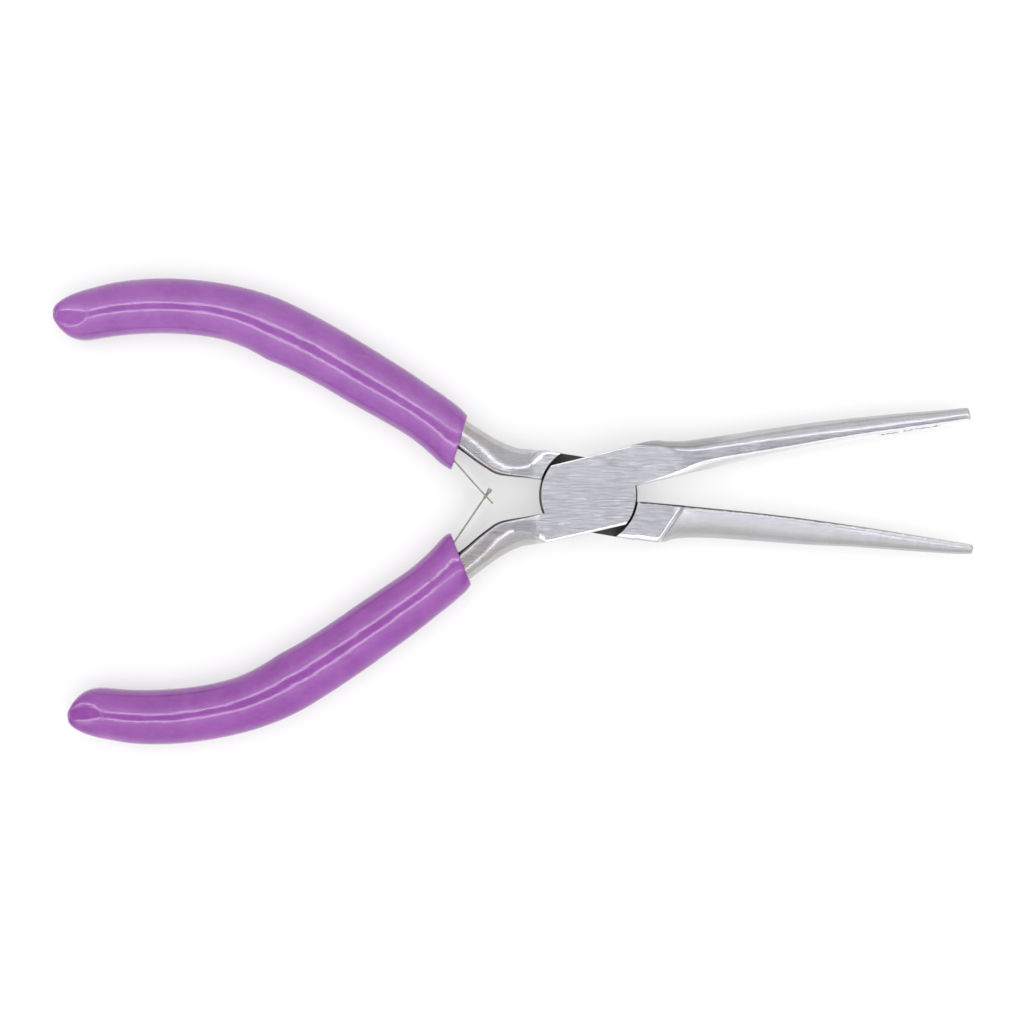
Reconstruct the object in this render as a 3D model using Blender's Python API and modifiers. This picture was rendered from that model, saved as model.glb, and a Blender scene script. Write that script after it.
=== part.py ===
"""Long round nose pliers: two forged halves in a lap joint on one flush rivet, dipped grips, and an
interlocking pair of leaf springs that push the handles apart.

Frame: +Z is the pivot axis, towards the front face; +X runs along the centreline to the jaw tips;
the origin is on the pivot axis in the back face of the joint. The two halves are the same forging
turned over, so every piece of a half is modelled in that half's own frame (x along the closed
pliers, jaw at +y, handle at -y, z = 0 in the lap plane, its boss at +z) and an empty on the pivot
axis carries it to its rest angle.

Dimensions are in millimetres and degrees; MILLIMETRE takes them to scene units.
"""
import math

import bmesh
import bpy
from mathutils import Matrix, Vector

MILLIMETRE = 0.001

# ---- joint and rest position --------------------------------------------------------------------
JOINT_THICKNESS = 8.0        # over both bosses, face to face
HALF_THICKNESS = JOINT_THICKNESS / 2
REST_HALF_ANGLE = 9.2        # each half's angle to the centreline at rest, sprung open
CLOSED_TRIM = 0.15           # half angle left between the half frames when the jaws touch
BOSS_RADIUS = 7.76           # machined ends of each boss, about the pivot
RECESS_RADIUS = 8.0          # the other half's recess around them
LAP_GAP = 0.05               # each lap face to the lap plane

RIVET_RADIUS = 2.5
RIVET_HEAD_RADIUS = 3.1      # swollen into the countersinks, ground flush
RIVET_HEAD_DEPTH = 0.6
RIVET_CLEARANCE = 0.06

# ---- fits between tang, leaf and grip -----------------------------------------------------------
LEAF_THICKNESS = 0.35
LEAF_WIDTH = 4.0
FOOT_GAP = 0.12              # leaf foot to tang
GRIP_GAP = 0.3               # tang and leaf to the moulded cavity
GRIP_WALL_OUTER = 1.45
GRIP_WALL_INNER = 1.9        # sleeve wall over the leaf foot, leaf included
GRIP_HALF_DEPTH = 4.1
TANG_HALF_DEPTH = 2.6

# ---- mesh resolution ----------------------------------------------------------------------------
CORNER_STEPS = 4             # facets round each corner of a lofted section
FLAT_STEPS = 2               # facets across each of its flats
JOINT_SEGMENTS = 72
RIVET_SEGMENTS = 40
FOOT_SEGMENTS = 20
SHARP_ANGLE = 35

# The handle in each half: the level of its spring and grip, and the side of the half that bears them
HANDLES = (("upper", "rear"), ("lower", "front"))


# ---- curves and sections ------------------------------------------------------------------------
def smooth(table, place):
    """A table [(place, value), ...] read smoothly, without overshoot between its entries."""
    if place <= table[0][0]:
        return table[0][1]
    if place >= table[-1][0]:
        return table[-1][1]
    slopes = [(after[1] - before[1]) / (after[0] - before[0])
              for before, after in zip(table, table[1:])]
    k = next(i for i in range(len(slopes)) if place <= table[i + 1][0])

    def tangent(i):
        if i == 0:
            return slopes[0]
        if i == len(slopes):
            return slopes[-1]
        before, after = slopes[i - 1], slopes[i]
        return 0.0 if before * after <= 0 else 2 * before * after / (before + after)

    (x0, y0), (x1, y1) = table[k], table[k + 1]
    span = x1 - x0
    part = (place - x0) / span
    return ((2 * part**3 - 3 * part**2 + 1) * y0
            + (part**3 - 2 * part**2 + part) * span * tangent(k)
            + (3 * part**2 - 2 * part**3) * y1
            + (part**3 - part**2) * span * tangent(k + 1))


def mix(start, end, share):
    return start + (end - start) * share


def corner_arc(width, height, corner, steps, power):
    """One rounded corner, from the edge of the section up to its flat.

    corner is (reach across the flat, height where it leaves the edge, crease angle); a crease
    under 90 degrees keeps a visible edge where the corner meets the flat.
    """
    reach, side_height, crease = corner
    end = math.radians(crease)
    points = []
    for i in range(steps + 1):
        angle = end * i / steps
        inward = (1 - math.cos(angle) ** power) / (1 - math.cos(end) ** power)
        rise = math.sin(angle) ** power / math.sin(end) ** power
        points.append((width - reach * inward, side_height + (height - side_height) * rise))
    return points


def between(start, end, steps):
    """The points inside a straight run cut into equal steps."""
    return [tuple(mix(p, q, i / steps) for p, q in zip(start, end)) for i in range(1, steps)]


def station(low, high, top, bottom, corners, steps=CORNER_STEPS, flat=FLAT_STEPS, power=1.0):
    """A closed section (across, z) set between a lower and an upper edge point in the xy plane.

    top and bottom are its heights at +z and -z of the lap plane. corners is one corner for all
    four, or a dictionary of them.
    """
    width = math.dist(low, high)

    def corner(place, height):
        shape = corners[place] if isinstance(corners, dict) else corners
        return corner_arc(width, height, shape, steps, power)

    upper_top = corner("upper_top", top)
    lower_top = [(width - across, z) for across, z in reversed(corner("lower_top", top))]
    lower_bottom = [(width - across, -z) for across, z in corner("lower_bottom", bottom)]
    upper_bottom = [(across, -z) for across, z in reversed(corner("upper_bottom", bottom))]
    section = (upper_top + between(upper_top[-1], lower_top[0], flat) + lower_top
               + lower_bottom + between(lower_bottom[-1], upper_bottom[0], flat) + upper_bottom)
    return low, high, section


def mesh_from(shape, name, smooth_shaded=False):
    """The finished mesh of a bmesh, which is freed."""
    mesh = bpy.data.meshes.new(name)
    shape.to_mesh(mesh)
    shape.free()
    if smooth_shaded:
        mesh.shade_smooth()
        mesh.set_sharp_from_angle(angle=math.radians(SHARP_ANGLE))
    return mesh


def loft(name, stations):
    """A closed skin over stations; both ends capped."""
    shape = bmesh.new()
    rings = []
    for low, high, section in stations:
        span = math.dist(low, high)
        along_x, along_y = (high[0] - low[0]) / span, (high[1] - low[1]) / span
        rings.append([shape.verts.new(((low[0] + across * along_x) * MILLIMETRE,
                                       (low[1] + across * along_y) * MILLIMETRE,
                                       z * MILLIMETRE)) for across, z in section])
    for ring, following in zip(rings, rings[1:]):
        for i in range(len(ring)):
            j = (i + 1) % len(ring)
            shape.faces.new((ring[i], ring[j], following[j], following[i]))
    shape.faces.new(rings[0])
    shape.faces.new(rings[-1])
    bmesh.ops.recalc_face_normals(shape, faces=shape.faces)
    return mesh_from(shape, name, smooth_shaded=True)


# ---- scene, materials and objects ---------------------------------------------------------------
for old in list(bpy.data.objects):
    bpy.data.objects.remove(old, do_unlink=True)

parts = bpy.data.collections.new("round_nose_pliers")
cutters = bpy.data.collections.new("cutters")
bpy.context.scene.collection.children.link(parts)
bpy.context.scene.collection.children.link(cutters)


def material(name, colour, roughness, metallic=1.0):
    made = bpy.data.materials.new(name)
    made.use_nodes = True
    shader = made.node_tree.nodes["Principled BSDF"]
    shader.inputs["Base Color"].default_value = (*colour, 1.0)
    shader.inputs["Roughness"].default_value = roughness
    shader.inputs["Metallic"].default_value = metallic
    made.diffuse_color = (*colour, 1.0)
    return made


def empty(name, location, rotation, parent=None):
    frame = bpy.data.objects.new(name, None)
    frame.location = Vector(location) * MILLIMETRE
    frame.rotation_euler = rotation
    frame.parent = parent
    parts.objects.link(frame)
    return frame


def add(name, data, parent, surface=None, cutter=False):
    """An object at its parent's origin, as a part or as a hidden cutter."""
    obj = bpy.data.objects.new(name, data)
    (cutters if cutter else parts).objects.link(obj)
    obj.parent = parent
    if cutter:
        obj.hide_render = True
        obj.display_type = "WIRE"
    if surface is not None:
        obj.data.materials.append(surface)
    return obj


def cut(obj, tool):
    modifier = obj.modifiers.new("difference_" + tool.name, "BOOLEAN")
    modifier.operation = "DIFFERENCE"
    modifier.solver = "EXACT"
    modifier.object = tool


def cylinder(name, radius, z_low, z_high, parent, segments, matrix=None):
    """A cylindrical cutter with its axis on z, or on the z of a given frame."""
    shape = bmesh.new()
    bmesh.ops.create_cone(shape, cap_ends=True, segments=segments, radius1=radius * MILLIMETRE,
                          radius2=radius * MILLIMETRE, depth=(z_high - z_low) * MILLIMETRE)
    bmesh.ops.translate(shape, verts=shape.verts, vec=(0, 0, (z_low + z_high) / 2 * MILLIMETRE))
    if matrix is not None:
        bmesh.ops.transform(shape, matrix=matrix, verts=shape.verts)
    return add(name, mesh_from(shape, name, smooth_shaded=True), parent, cutter=True)


def box(name, low, high, parent):
    """A box-shaped cutter between two opposite corners."""
    shape = bmesh.new()
    bmesh.ops.create_cube(shape, size=1.0)
    size = [(end - start) * MILLIMETRE for start, end in zip(low, high)]
    middle = [(start + end) / 2 * MILLIMETRE for start, end in zip(low, high)]
    bmesh.ops.scale(shape, vec=size, verts=shape.verts)
    bmesh.ops.translate(shape, vec=middle, verts=shape.verts)
    return add(name, mesh_from(shape, name), parent, cutter=True)


def turned(name, profile, parent, segments, surface=None, cutter=False, matrix=None):
    """A turned piece: an (r, z) profile run down its outer side, spun about local z."""
    mesh = bpy.data.meshes.new(name)
    points = [(radius * MILLIMETRE, 0, z * MILLIMETRE) for radius, z in profile]
    mesh.from_pydata(points, [(i, i + 1) for i in range(len(points) - 1)], [])
    obj = add(name, mesh, parent, surface, cutter=cutter)
    if matrix is not None:
        obj.matrix_local = matrix
    modifier = obj.modifiers.new("turn", "SCREW")
    modifier.angle = 2 * math.pi
    modifier.steps = segments
    modifier.render_steps = segments
    modifier.use_merge_vertices = True
    modifier.merge_threshold = 0.00001
    modifier.use_smooth_shade = False
    return obj


def strip(name, points, half_width, thickness, parent, surface=None, cutter=False):
    """A flat strip on its edge along a path in the xy plane: an open surface, thickened."""
    shape = bmesh.new()
    rows = [[shape.verts.new((point.x * MILLIMETRE, point.y * MILLIMETRE, z * MILLIMETRE))
             for z in (-half_width, half_width)] for point in points]
    for row, following in zip(rows, rows[1:]):
        shape.faces.new((row[0], following[0], following[1], row[1]))
    obj = add(name, mesh_from(shape, name), parent, surface, cutter=cutter)
    modifier = obj.modifiers.new("thickness", "SOLIDIFY")
    modifier.thickness = thickness * MILLIMETRE
    modifier.offset = 0.0
    return obj


# Each half turns about an empty on the pivot axis, in the lap plane; the rear one is turned over.
REST_TURN = math.radians(REST_HALF_ANGLE)
AXIS = {
    "front": empty("front_half_axis", (0, 0, HALF_THICKNESS), (0, 0, REST_TURN)),
    "rear": empty("rear_half_axis", (0, 0, HALF_THICKNESS), (math.pi, 0, -REST_TURN)),
}

# ---- jaws ---------------------------------------------------------------------------------------
JAW_ROOT = 8.2
JAW_TIP = {"front": 63.2, "rear": 62.9}  # pivot axis to each jaw's tip
TIP_ROUNDING = 0.7           # the last station short of the tip
# Outer edge of each jaw, (x, y)
JAW_OUTER = {
    "front": [(8.0, 6.46), (11.2, 6.6), (12.5, 6.5), (13.8, 6.16), (15.2, 5.88), (17.5, 5.52),
              (21.5, 5.3), (29.5, 4.94), (37.5, 4.48), (45.0, 3.86), (53.0, 3.05), (60.0, 2.25),
              (63.2, 1.95)],
    "rear": [(8.0, 6.15), (11.0, 6.17), (12.0, 6.14), (13.2, 5.95), (14.4, 5.42), (16.0, 4.98),
             (18.5, 4.62), (21.0, 4.37), (28.5, 3.94), (36.5, 3.5), (44.0, 2.92), (52.0, 2.5),
             (60.0, 2.0), (62.9, 1.7)],
}
# Inner edge: one half wave of a sine. In the scene both jaws bow the same way, so they nest closed.
JAW_BOW = {"front": 0.55, "rear": -0.55}
JAW_BOW_START = 9.0
JAW_BOW_LENGTH = 48.0
JAW_INNER_OFFSET = 0.03

# Where the sections stand along the jaw, tip to root, after the two at the tip
JAW_STATIONS = [58.0, 53.0, 48.0, 43.0, 38.0, 33.0, 29.0, 25.0, 22.0, 20.0, 18.0, 16.5, 15.2,
                14.5, 14.1, 13.7, 13.0, 12.2, 11.2, 10.0, JAW_ROOT]

# Tables over the jaw's length, (place, value). The sections lean over the diagonal step behind
# the jaw's root, then straighten.
JAW_LEAN = [(8.2, 0.0), (13.7, 3.2), (16.5, 2.6), (26.0, 0.0)]
JAW_TOP = [(8.2, HALF_THICKNESS), (12.0, HALF_THICKNESS), (15.0, 3.93), (18.0, 3.6),
           (22.0, 3.15), (30.0, 2.45), (45.0, 1.72)]
JAW_BOTTOM = [(8.2, HALF_THICKNESS), (13.7, HALF_THICKNESS), (14.5, 3.3), (17.0, 3.05),
              (22.0, 2.8), (30.0, 2.36), (45.0, 1.7)]
# How far the corners have become full rounds, 0 to 1, at +z and, past the step, at -z
JAW_TOP_ROUND = [(15.0, 0.0), (21.0, 1.0)]
JAW_BOTTOM_ROUND = [(13.7, 0.0), (14.5, 1.0)]
FULL_ROUND = 0.48            # reach of a full round, as a share of the section's width
# Corners before they become full rounds
JAW_UPPER_TOP_REACH = [(8.2, 0.15), (11.2, 0.2), (12.4, 0.95), (14.5, 1.5), (17.0, 2.1)]
JAW_LOWER_TOP_REACH = [(8.2, 0.15), (10.0, 0.4), (13.0, 1.0), (17.0, 1.7)]
JAW_UPPER_BOTTOM_REACH = [(8.2, 0.9), (9.5, 1.2), (13.7, 1.25)]
JAW_LOWER_BOTTOM_REACH = 0.15
JAW_TOP_SIDE = [(8.2, 3.8), (11.2, 3.65), (13.0, 2.6), (17.0, 0.9), (22.0, 0.12), (62.5, 0.05)]
JAW_UPPER_BOTTOM_SIDE = 3.3
JAW_LOWER_BOTTOM_SIDE = 3.8
JAW_BOTTOM_ROUND_SIDE = [(17.0, 0.35), (22.0, 0.12), (62.5, 0.05)]
JAW_TOP_CREASE = [(8.2, 80.0), (11.2, 60.0), (14.5, 55.0), (18.0, 88.0)]
JAW_CREASE_CHANGE = 18.0     # the inner edge's crease at +z softens beyond this place
ROUND_CREASE = 88.0
BOSS_CREASE = 80.0
BEVEL_CREASE = 45.0


def jaw_inner(side, x):
    bow = JAW_BOW[side] * math.sin(math.pi * (x - JAW_BOW_START) / JAW_BOW_LENGTH)
    return JAW_INNER_OFFSET - math.sin(math.radians(CLOSED_TRIM)) * x + bow


def jaw_station(side, place):
    lean = smooth(JAW_LEAN, place)
    low_x, high_x = place + lean / 2, place - lean / 2
    low = (low_x, jaw_inner(side, low_x))
    high = (high_x, smooth(JAW_OUTER[side], high_x))
    full_round = FULL_ROUND * math.dist(low, high)

    tip = JAW_TIP[side]
    taper = [(58.0, 1.15), (tip - TIP_ROUNDING, 0.95), (tip, 0.8)]
    top = smooth(JAW_TOP + taper, place)
    bottom = smooth(JAW_BOTTOM + taper, place)
    top_round = smooth(JAW_TOP_ROUND, place)
    bottom_round = smooth(JAW_BOTTOM_ROUND, place)
    top_side = smooth(JAW_TOP_SIDE, place)
    bottom_side = smooth(JAW_BOTTOM_ROUND_SIDE, place)
    corners = {
        "upper_top": (mix(smooth(JAW_UPPER_TOP_REACH, place), full_round, top_round),
                      top_side, smooth(JAW_TOP_CREASE, place)),
        "lower_top": (mix(smooth(JAW_LOWER_TOP_REACH, place), full_round, top_round),
                      top_side, ROUND_CREASE if place > JAW_CREASE_CHANGE else BOSS_CREASE),
        "upper_bottom": (mix(smooth(JAW_UPPER_BOTTOM_REACH, place), full_round, bottom_round),
                         mix(JAW_UPPER_BOTTOM_SIDE, bottom_side, bottom_round),
                         mix(BEVEL_CREASE, ROUND_CREASE, bottom_round)),
        "lower_bottom": (mix(JAW_LOWER_BOTTOM_REACH, full_round, bottom_round),
                         mix(JAW_LOWER_BOTTOM_SIDE, bottom_side, bottom_round), ROUND_CREASE),
    }
    return station(low, high, top, bottom, corners)


# ---- bosses -------------------------------------------------------------------------------------
BOSS_STATIONS = [8.0, 4.0, 0.0, -4.0, -8.0]
# Edges of the boss: y at the pivot, and slope along x
BOSS_UPPER = {"front": 6.02, "rear": 5.9}
BOSS_UPPER_SLOPE = 0.045
BOSS_LOWER = -6.0
BOSS_LOWER_SLOPE = 0.03
BOSS_CORNER = (0.15, 3.85, BOSS_CREASE)
# The upper corner at -z widens towards the jaw, (x, value)
BOSS_BEVEL_REACH = [(3.0, 0.15), (8.2, 0.9)]
BOSS_BEVEL_SIDE = [(3.0, 3.85), (8.2, 3.3)]


def boss_station(side, x):
    bevel = (smooth(BOSS_BEVEL_REACH, x), smooth(BOSS_BEVEL_SIDE, x), BEVEL_CREASE)
    corners = {"upper_top": BOSS_CORNER, "lower_top": BOSS_CORNER,
               "upper_bottom": bevel, "lower_bottom": BOSS_CORNER}
    return station((x, BOSS_LOWER + BOSS_LOWER_SLOPE * x),
                   (x, BOSS_UPPER[side] + BOSS_UPPER_SLOPE * x),
                   HALF_THICKNESS, HALF_THICKNESS, corners)


# ---- handle edges -------------------------------------------------------------------------------
# Pairs of edge points (outer, inner) across the shank, from the joint backwards
SHANK = [
    ((-8.2, -6.2), (-8.2, -1.5)), ((-10.0, -6.12), (-10.2, -1.48)),
    ((-11.8, -6.08), (-12.2, -1.42)), ((-13.4, -6.32), (-14.0, -1.38)),
    ((-14.6, -6.65), (-15.3, -1.55)), ((-16.0, -7.12), (-17.0, -2.25)),
    ((-17.6, -7.85), (-18.9, -3.2)), ((-19.5, -8.72), (-21.3, -4.55)),
    ((-22.0, -9.95), (-24.0, -5.75)), ((-25.0, -11.55), (-27.2, -6.9)),
]
# Edge pairs of the grip: each side's mouth, then from just behind it to the butt
MOUTH = {"front": ((-21.25, -10.55), (-22.95, -1.6)), "rear": ((-20.85, -10.35), (-22.4, -1.15))}
GRIP = [
    ((-22.3, -11.5), (-24.2, -1.95)), ((-23.8, -12.4), (-26.4, -3.5)),
    ((-25.2, -13.2), (-28.3, -4.75)), ((-27.4, -14.3), (-31.0, -6.2)),
    ((-31.2, -16.25), (-35.0, -7.9)), ((-36.2, -18.6), (-40.0, -9.95)),
    ((-41.4, -20.95), (-45.0, -12.1)), ((-46.9, -23.2), (-50.0, -14.0)),
    ((-51.4, -24.85), (-53.4, -15.1)), ((-54.6, -25.75), (-55.8, -16.0)),
    ((-58.2, -26.4), (-59.2, -17.05)), ((-62.2, -26.8), (-62.4, -17.65)),
    ((-66.8, -26.85), (-66.5, -17.8)), ((-71.6, -26.55), (-70.5, -17.55)),
    ((-76.2, -25.85), (-74.5, -17.0)), ((-80.4, -24.8), (-78.5, -16.2)),
    ((-84.2, -23.5), (-82.3, -15.25)), ((-86.6, -22.15), (-84.3, -14.6)),
]
# The two handles are set a touch differently: y per unit of x behind the start of the spread
HANDLE_SPREAD = {"front": -0.0058, "rear": 0.0038}
SPREAD_START = -24.0
# Places in the grip's edge pairs, counted from the mouth
TANG_PAIRS = slice(4, 18)    # those the tang follows inside the sleeve
LEAF_PAIRS = slice(5, 10)    # those the leaf's foot follows
FOOT_PAIR = 7                # where the leaf's rivet stands


def inset(pair, outer_wall, inner_wall):
    """An edge pair moved inwards by a wall at each edge."""
    (outer_x, outer_y), (inner_x, inner_y) = pair
    span = math.dist(*pair)
    along_x, along_y = (inner_x - outer_x) / span, (inner_y - outer_y) / span
    return ((outer_x + outer_wall * along_x, outer_y + outer_wall * along_y),
            (inner_x - inner_wall * along_x, inner_y - inner_wall * along_y))


def set_handle(side, pair):
    """An edge pair moved by its own side's spread."""
    return tuple((x, y + HANDLE_SPREAD[side] * max(0.0, SPREAD_START - x)) for x, y in pair)


def grip_pairs(side):
    return [MOUTH[side]] + [set_handle(side, pair) for pair in GRIP]


def sleeved_pairs(side, places):
    """Edge pairs of the tang inside the sleeve."""
    return [inset(pair, GRIP_WALL_OUTER, GRIP_WALL_INNER) for pair in grip_pairs(side)[places]]


def tang_pairs(side):
    return SHANK + sleeved_pairs(side, TANG_PAIRS)


def outward(outer, inner):
    """The direction from a pair's outer edge to its inner one, out of the steel there."""
    return Vector((inner[0] - outer[0], inner[1] - outer[1])).normalized()


# ---- shank and tang -----------------------------------------------------------------------------
# Tables over the mean x of a section, (x, value)
SHANK_DEPTH = [(-30.0, TANG_HALF_DEPTH), (-24.0, 2.68), (-20.0, 2.8), (-17.0, 3.0),
               (-14.5, 3.45), (-12.5, 3.9), (-11.0, HALF_THICKNESS), (-8.2, HALF_THICKNESS)]
# The outer corners' reach near the joint, and behind it
OUTER_REACH_JOINT = [(-12.3, 3.05), (-11.0, 2.85), (-10.0, 2.2), (-9.0, 1.1), (-8.2, 0.35)]
OUTER_REACH = [(-30.0, 1.7), (-21.0, 2.1), (-17.0, 2.45), (-14.5, 2.75)] + OUTER_REACH_JOINT
OUTER_REACH_CHANGE = -15.0
OUTER_REACH_AT_CHANGE = 2.7
INNER_REACH = [(-30.0, 1.7), (-21.0, 2.0), (-17.0, 1.7), (-14.0, 0.9), (-12.0, 0.35), (-8.2, 0.2)]
REACH_SHARE = 0.97           # most of the width that both corners may take
OUTER_SIDE = [(-30.0, 0.9), (-21.0, 0.45), (-15.0, 0.6), (-12.0, 1.3), (-10.0, 2.1),
              (-9.0, 3.0), (-8.2, 3.6)]
INNER_SIDE = [(-30.0, 0.9), (-21.0, 0.5), (-17.0, 1.1), (-14.0, 2.3), (-12.0, 3.45), (-8.2, 3.8)]
OUTER_CREASE = [(-17.0, 88.0), (-13.5, 58.0), (-9.0, 52.0), (-8.2, 70.0)]
INNER_CREASE = 86.0

# The tang's rounded end: (distance behind its last pair, share of that section's size)
TANG_END = ((0.7, 0.86), (1.1, 0.6))
TANG_END_DIRECTION = (-0.95, 0.3)
TANG_END_REACH = 0.3         # share of the width
TANG_END_SIDE = 0.9


def shank_station(outer, inner):
    width = math.dist(outer, inner)
    full_round = FULL_ROUND * width
    x = (outer[0] + inner[0]) / 2
    if x < OUTER_REACH_CHANGE:
        outer_reach = min(full_round, smooth(OUTER_REACH, x))
    else:
        start = (OUTER_REACH_CHANGE, min(full_round, OUTER_REACH_AT_CHANGE))
        outer_reach = smooth([start] + OUTER_REACH_JOINT, x)
    inner_reach = min(smooth(INNER_REACH, x), REACH_SHARE * width - outer_reach)
    outer_corner = (outer_reach, smooth(OUTER_SIDE, x), smooth(OUTER_CREASE, x))
    inner_corner = (inner_reach, smooth(INNER_SIDE, x), INNER_CREASE)
    corners = {"lower_top": outer_corner, "upper_top": inner_corner,
               "lower_bottom": outer_corner, "upper_bottom": inner_corner}
    depth = smooth(SHANK_DEPTH, x)
    return station(outer, inner, depth, depth, corners)


def tang_end_station(outer, inner, back, shrink):
    middle_x = (outer[0] + inner[0]) / 2 + back * TANG_END_DIRECTION[0]
    middle_y = (outer[1] + inner[1]) / 2 + back * TANG_END_DIRECTION[1]
    half_x = (inner[0] - outer[0]) / 2 * shrink
    half_y = (inner[1] - outer[1]) / 2 * shrink
    low = (middle_x - half_x, middle_y - half_y)
    high = (middle_x + half_x, middle_y + half_y)
    corner = (TANG_END_REACH * math.dist(low, high), TANG_END_SIDE * shrink, INNER_CREASE)
    depth = TANG_HALF_DEPTH * shrink
    return station(low, high, depth, depth, corner)


# ---- forged halves and pivot rivet --------------------------------------------------------------
CUT_DEPTH = 9.0              # round cutters run this far from the lap plane
CLIP_DEPTH = 9.5             # and the clipping blocks this far
CLIP_REACH = 8.35            # blocks' extent along x
CLIP_WIDTH = 12.0            # and their extent in y, clear of the steel
JAW_CLIP_MARGIN = 0.04       # above the inner edge at the jaw's root
SHANK_CLIP_Y = -1.56
HOLE_OVERRUN = 1.0           # rivet hole cutter beyond each face


def half_stations(side):
    """Sections of a whole forging, from the jaw's tip to the tang's end."""
    tip = JAW_TIP[side]
    pairs = tang_pairs(side)
    return ([jaw_station(side, place) for place in [tip, tip - TIP_ROUNDING] + JAW_STATIONS]
            + [boss_station(side, x) for x in BOSS_STATIONS]
            + [shank_station(*pair) for pair in pairs]
            + [tang_end_station(*pairs[-1], back, shrink) for back, shrink in TANG_END])


def clip_tool(name, side, low, high):
    """What lies beyond the machined end of a boss: a block less the boss's disc."""
    tool = box(f"{name}_{side}", (*low, -CLIP_DEPTH), (*high, CLIP_DEPTH), AXIS[side])
    cut(tool, cylinder(f"{name}_disc_{side}", BOSS_RADIUS, -CUT_DEPTH, CUT_DEPTH, AXIS[side],
                       JOINT_SEGMENTS))
    return tool


def rivet_profile(grow=0.0):
    """Outline of the pivot rivet, or of the hole for it when grown, run down its outer side."""
    head, shaft = RIVET_HEAD_RADIUS + grow, RIVET_RADIUS + grow
    end = HALF_THICKNESS + (HOLE_OVERRUN if grow else 0.0)
    knee = HALF_THICKNESS - RIVET_HEAD_DEPTH
    flare = [(0.0, end), (head, end)]
    if grow:
        flare.append((head, HALF_THICKNESS))
    mirrored = [(radius, -z) for radius, z in reversed(flare)]
    return flare + [(shaft, knee), (shaft, -knee)] + mirrored


# ---- leaf fasteners -----------------------------------------------------------------------------
FOOT_RIVET_RADIUS = 0.8
FOOT_RIVET_HEAD = 1.5        # head radius
FOOT_RIVET_DEPTH = 2.5       # into the tang
FOOT_CLEARANCE = 0.06        # round the shank and under the head
HEAD_SEAT = FOOT_GAP + LEAF_THICKNESS + FOOT_CLEARANCE
HEAD_HEIGHT = 0.5
HEAD_SHOULDER = (0.7, 0.42)  # share of the head's radius, height above its seat
HEAD_RIM = 0.12              # height of the head's upright rim
FOOT_HOLE_TOP = 2.0
TANG_HOLE_BOTTOM = -2.9
LEAF_HOLE_BOTTOM = -1.0
POCKET_BOTTOM = -0.5


def foot_frame(side):
    """Frame of the leaf's fastener on the tang's inner edge, with z out of the steel."""
    outer, inner = inset(grip_pairs(side)[FOOT_PAIR], GRIP_WALL_OUTER, GRIP_WALL_INNER)
    out = outward(outer, inner).to_3d()
    across = Vector((0, 0, 1))
    frame = Matrix((across.cross(out), across, out)).transposed().to_4x4()
    frame.translation = Vector((*inner, 0)) * MILLIMETRE
    return frame


def foot_hole(name, side, bottom):
    return cylinder(name, FOOT_RIVET_RADIUS + FOOT_CLEARANCE, bottom, FOOT_HOLE_TOP, AXIS[side],
                    FOOT_SEGMENTS, matrix=foot_frame(side))


def make_foot_rivet(level, side):
    """The leaf's fastener, a round-headed rivet into the tang."""
    shoulder_share, shoulder_height = HEAD_SHOULDER
    profile = [(0.0, HEAD_SEAT + HEAD_HEIGHT),
               (FOOT_RIVET_HEAD * shoulder_share, HEAD_SEAT + shoulder_height),
               (FOOT_RIVET_HEAD, HEAD_SEAT + HEAD_RIM), (FOOT_RIVET_HEAD, HEAD_SEAT),
               (FOOT_RIVET_RADIUS, HEAD_SEAT), (FOOT_RIVET_RADIUS, -FOOT_RIVET_DEPTH),
               (0.0, -FOOT_RIVET_DEPTH)]
    steel = material("fastener_" + level, colour=(0.45, 0.44, 0.43), roughness=0.35)
    turned(level + "_spring_rivet", profile, AXIS[side], FOOT_SEGMENTS, steel,
           matrix=foot_frame(side))


def make_half(side, colour):
    name = side + "_half"
    steel = material("polished_steel_" + side, colour=colour, roughness=0.22)
    axis = AXIS[side]
    half = add(name, loft(name, half_stations(side)), axis, steel)
    cut(half, cylinder("recess_" + side, RECESS_RADIUS, -CUT_DEPTH, LAP_GAP, axis, JOINT_SEGMENTS))
    # the machined ends: towards the other jaw, and towards the other shank
    jaw_clip_y = jaw_inner(side, JAW_ROOT) + JAW_CLIP_MARGIN
    cut(half, clip_tool("jaw_end", side, (0.0, -CLIP_WIDTH), (CLIP_REACH, jaw_clip_y)))
    cut(half, clip_tool("shank_end", side, (-CLIP_REACH, SHANK_CLIP_Y), (0.0, CLIP_WIDTH)))
    cut(half, turned("rivet_hole_" + side, rivet_profile(RIVET_CLEARANCE), axis, RIVET_SEGMENTS,
                     cutter=True))
    cut(half, foot_hole("foot_hole_" + side, side, TANG_HOLE_BOTTOM))


def make_pivot_rivet():
    steel = material("rivet_steel", colour=(0.59, 0.59, 0.62), roughness=0.25)
    turned("pivot_rivet", rivet_profile(), AXIS["front"], RIVET_SEGMENTS, steel)


# ---- leaf springs -------------------------------------------------------------------------------
# root: where the blade starts, at the grip's mouth, and angle: its direction, in the half's frame.
# The other entries are places along the blade and widths across it: the upper blade has a window,
# the lower one narrows to a tongue with a wider head.
LEAF = {
    "upper": {"root": (-21.6, -2.3), "angle": 40.7, "length": 8.6,
              "window": (6.15, 7.85), "window_width": 2.2},
    "lower": {"root": (-22.2, -2.8), "angle": 44.6, "length": 9.75,
              "tongue": 6.85, "tongue_width": 1.5, "head": 9.1, "head_width": 3.0},
}
LEAF_GAP = 0.3               # foot to blade, at the line where the leaf flexes
UPPER_CHAMFER = 0.7          # corners of the upper blade's end
HEAD_CHAMFER = 0.2           # corners of the lower blade's head
TONGUE_TAPER = 0.8           # length over which the lower blade narrows
BEND_STEPS = 8
BEND_LEAD = 0.45             # pull of the bend's handles, as shares of its reach
BEND_ARRIVAL = 0.3


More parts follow.
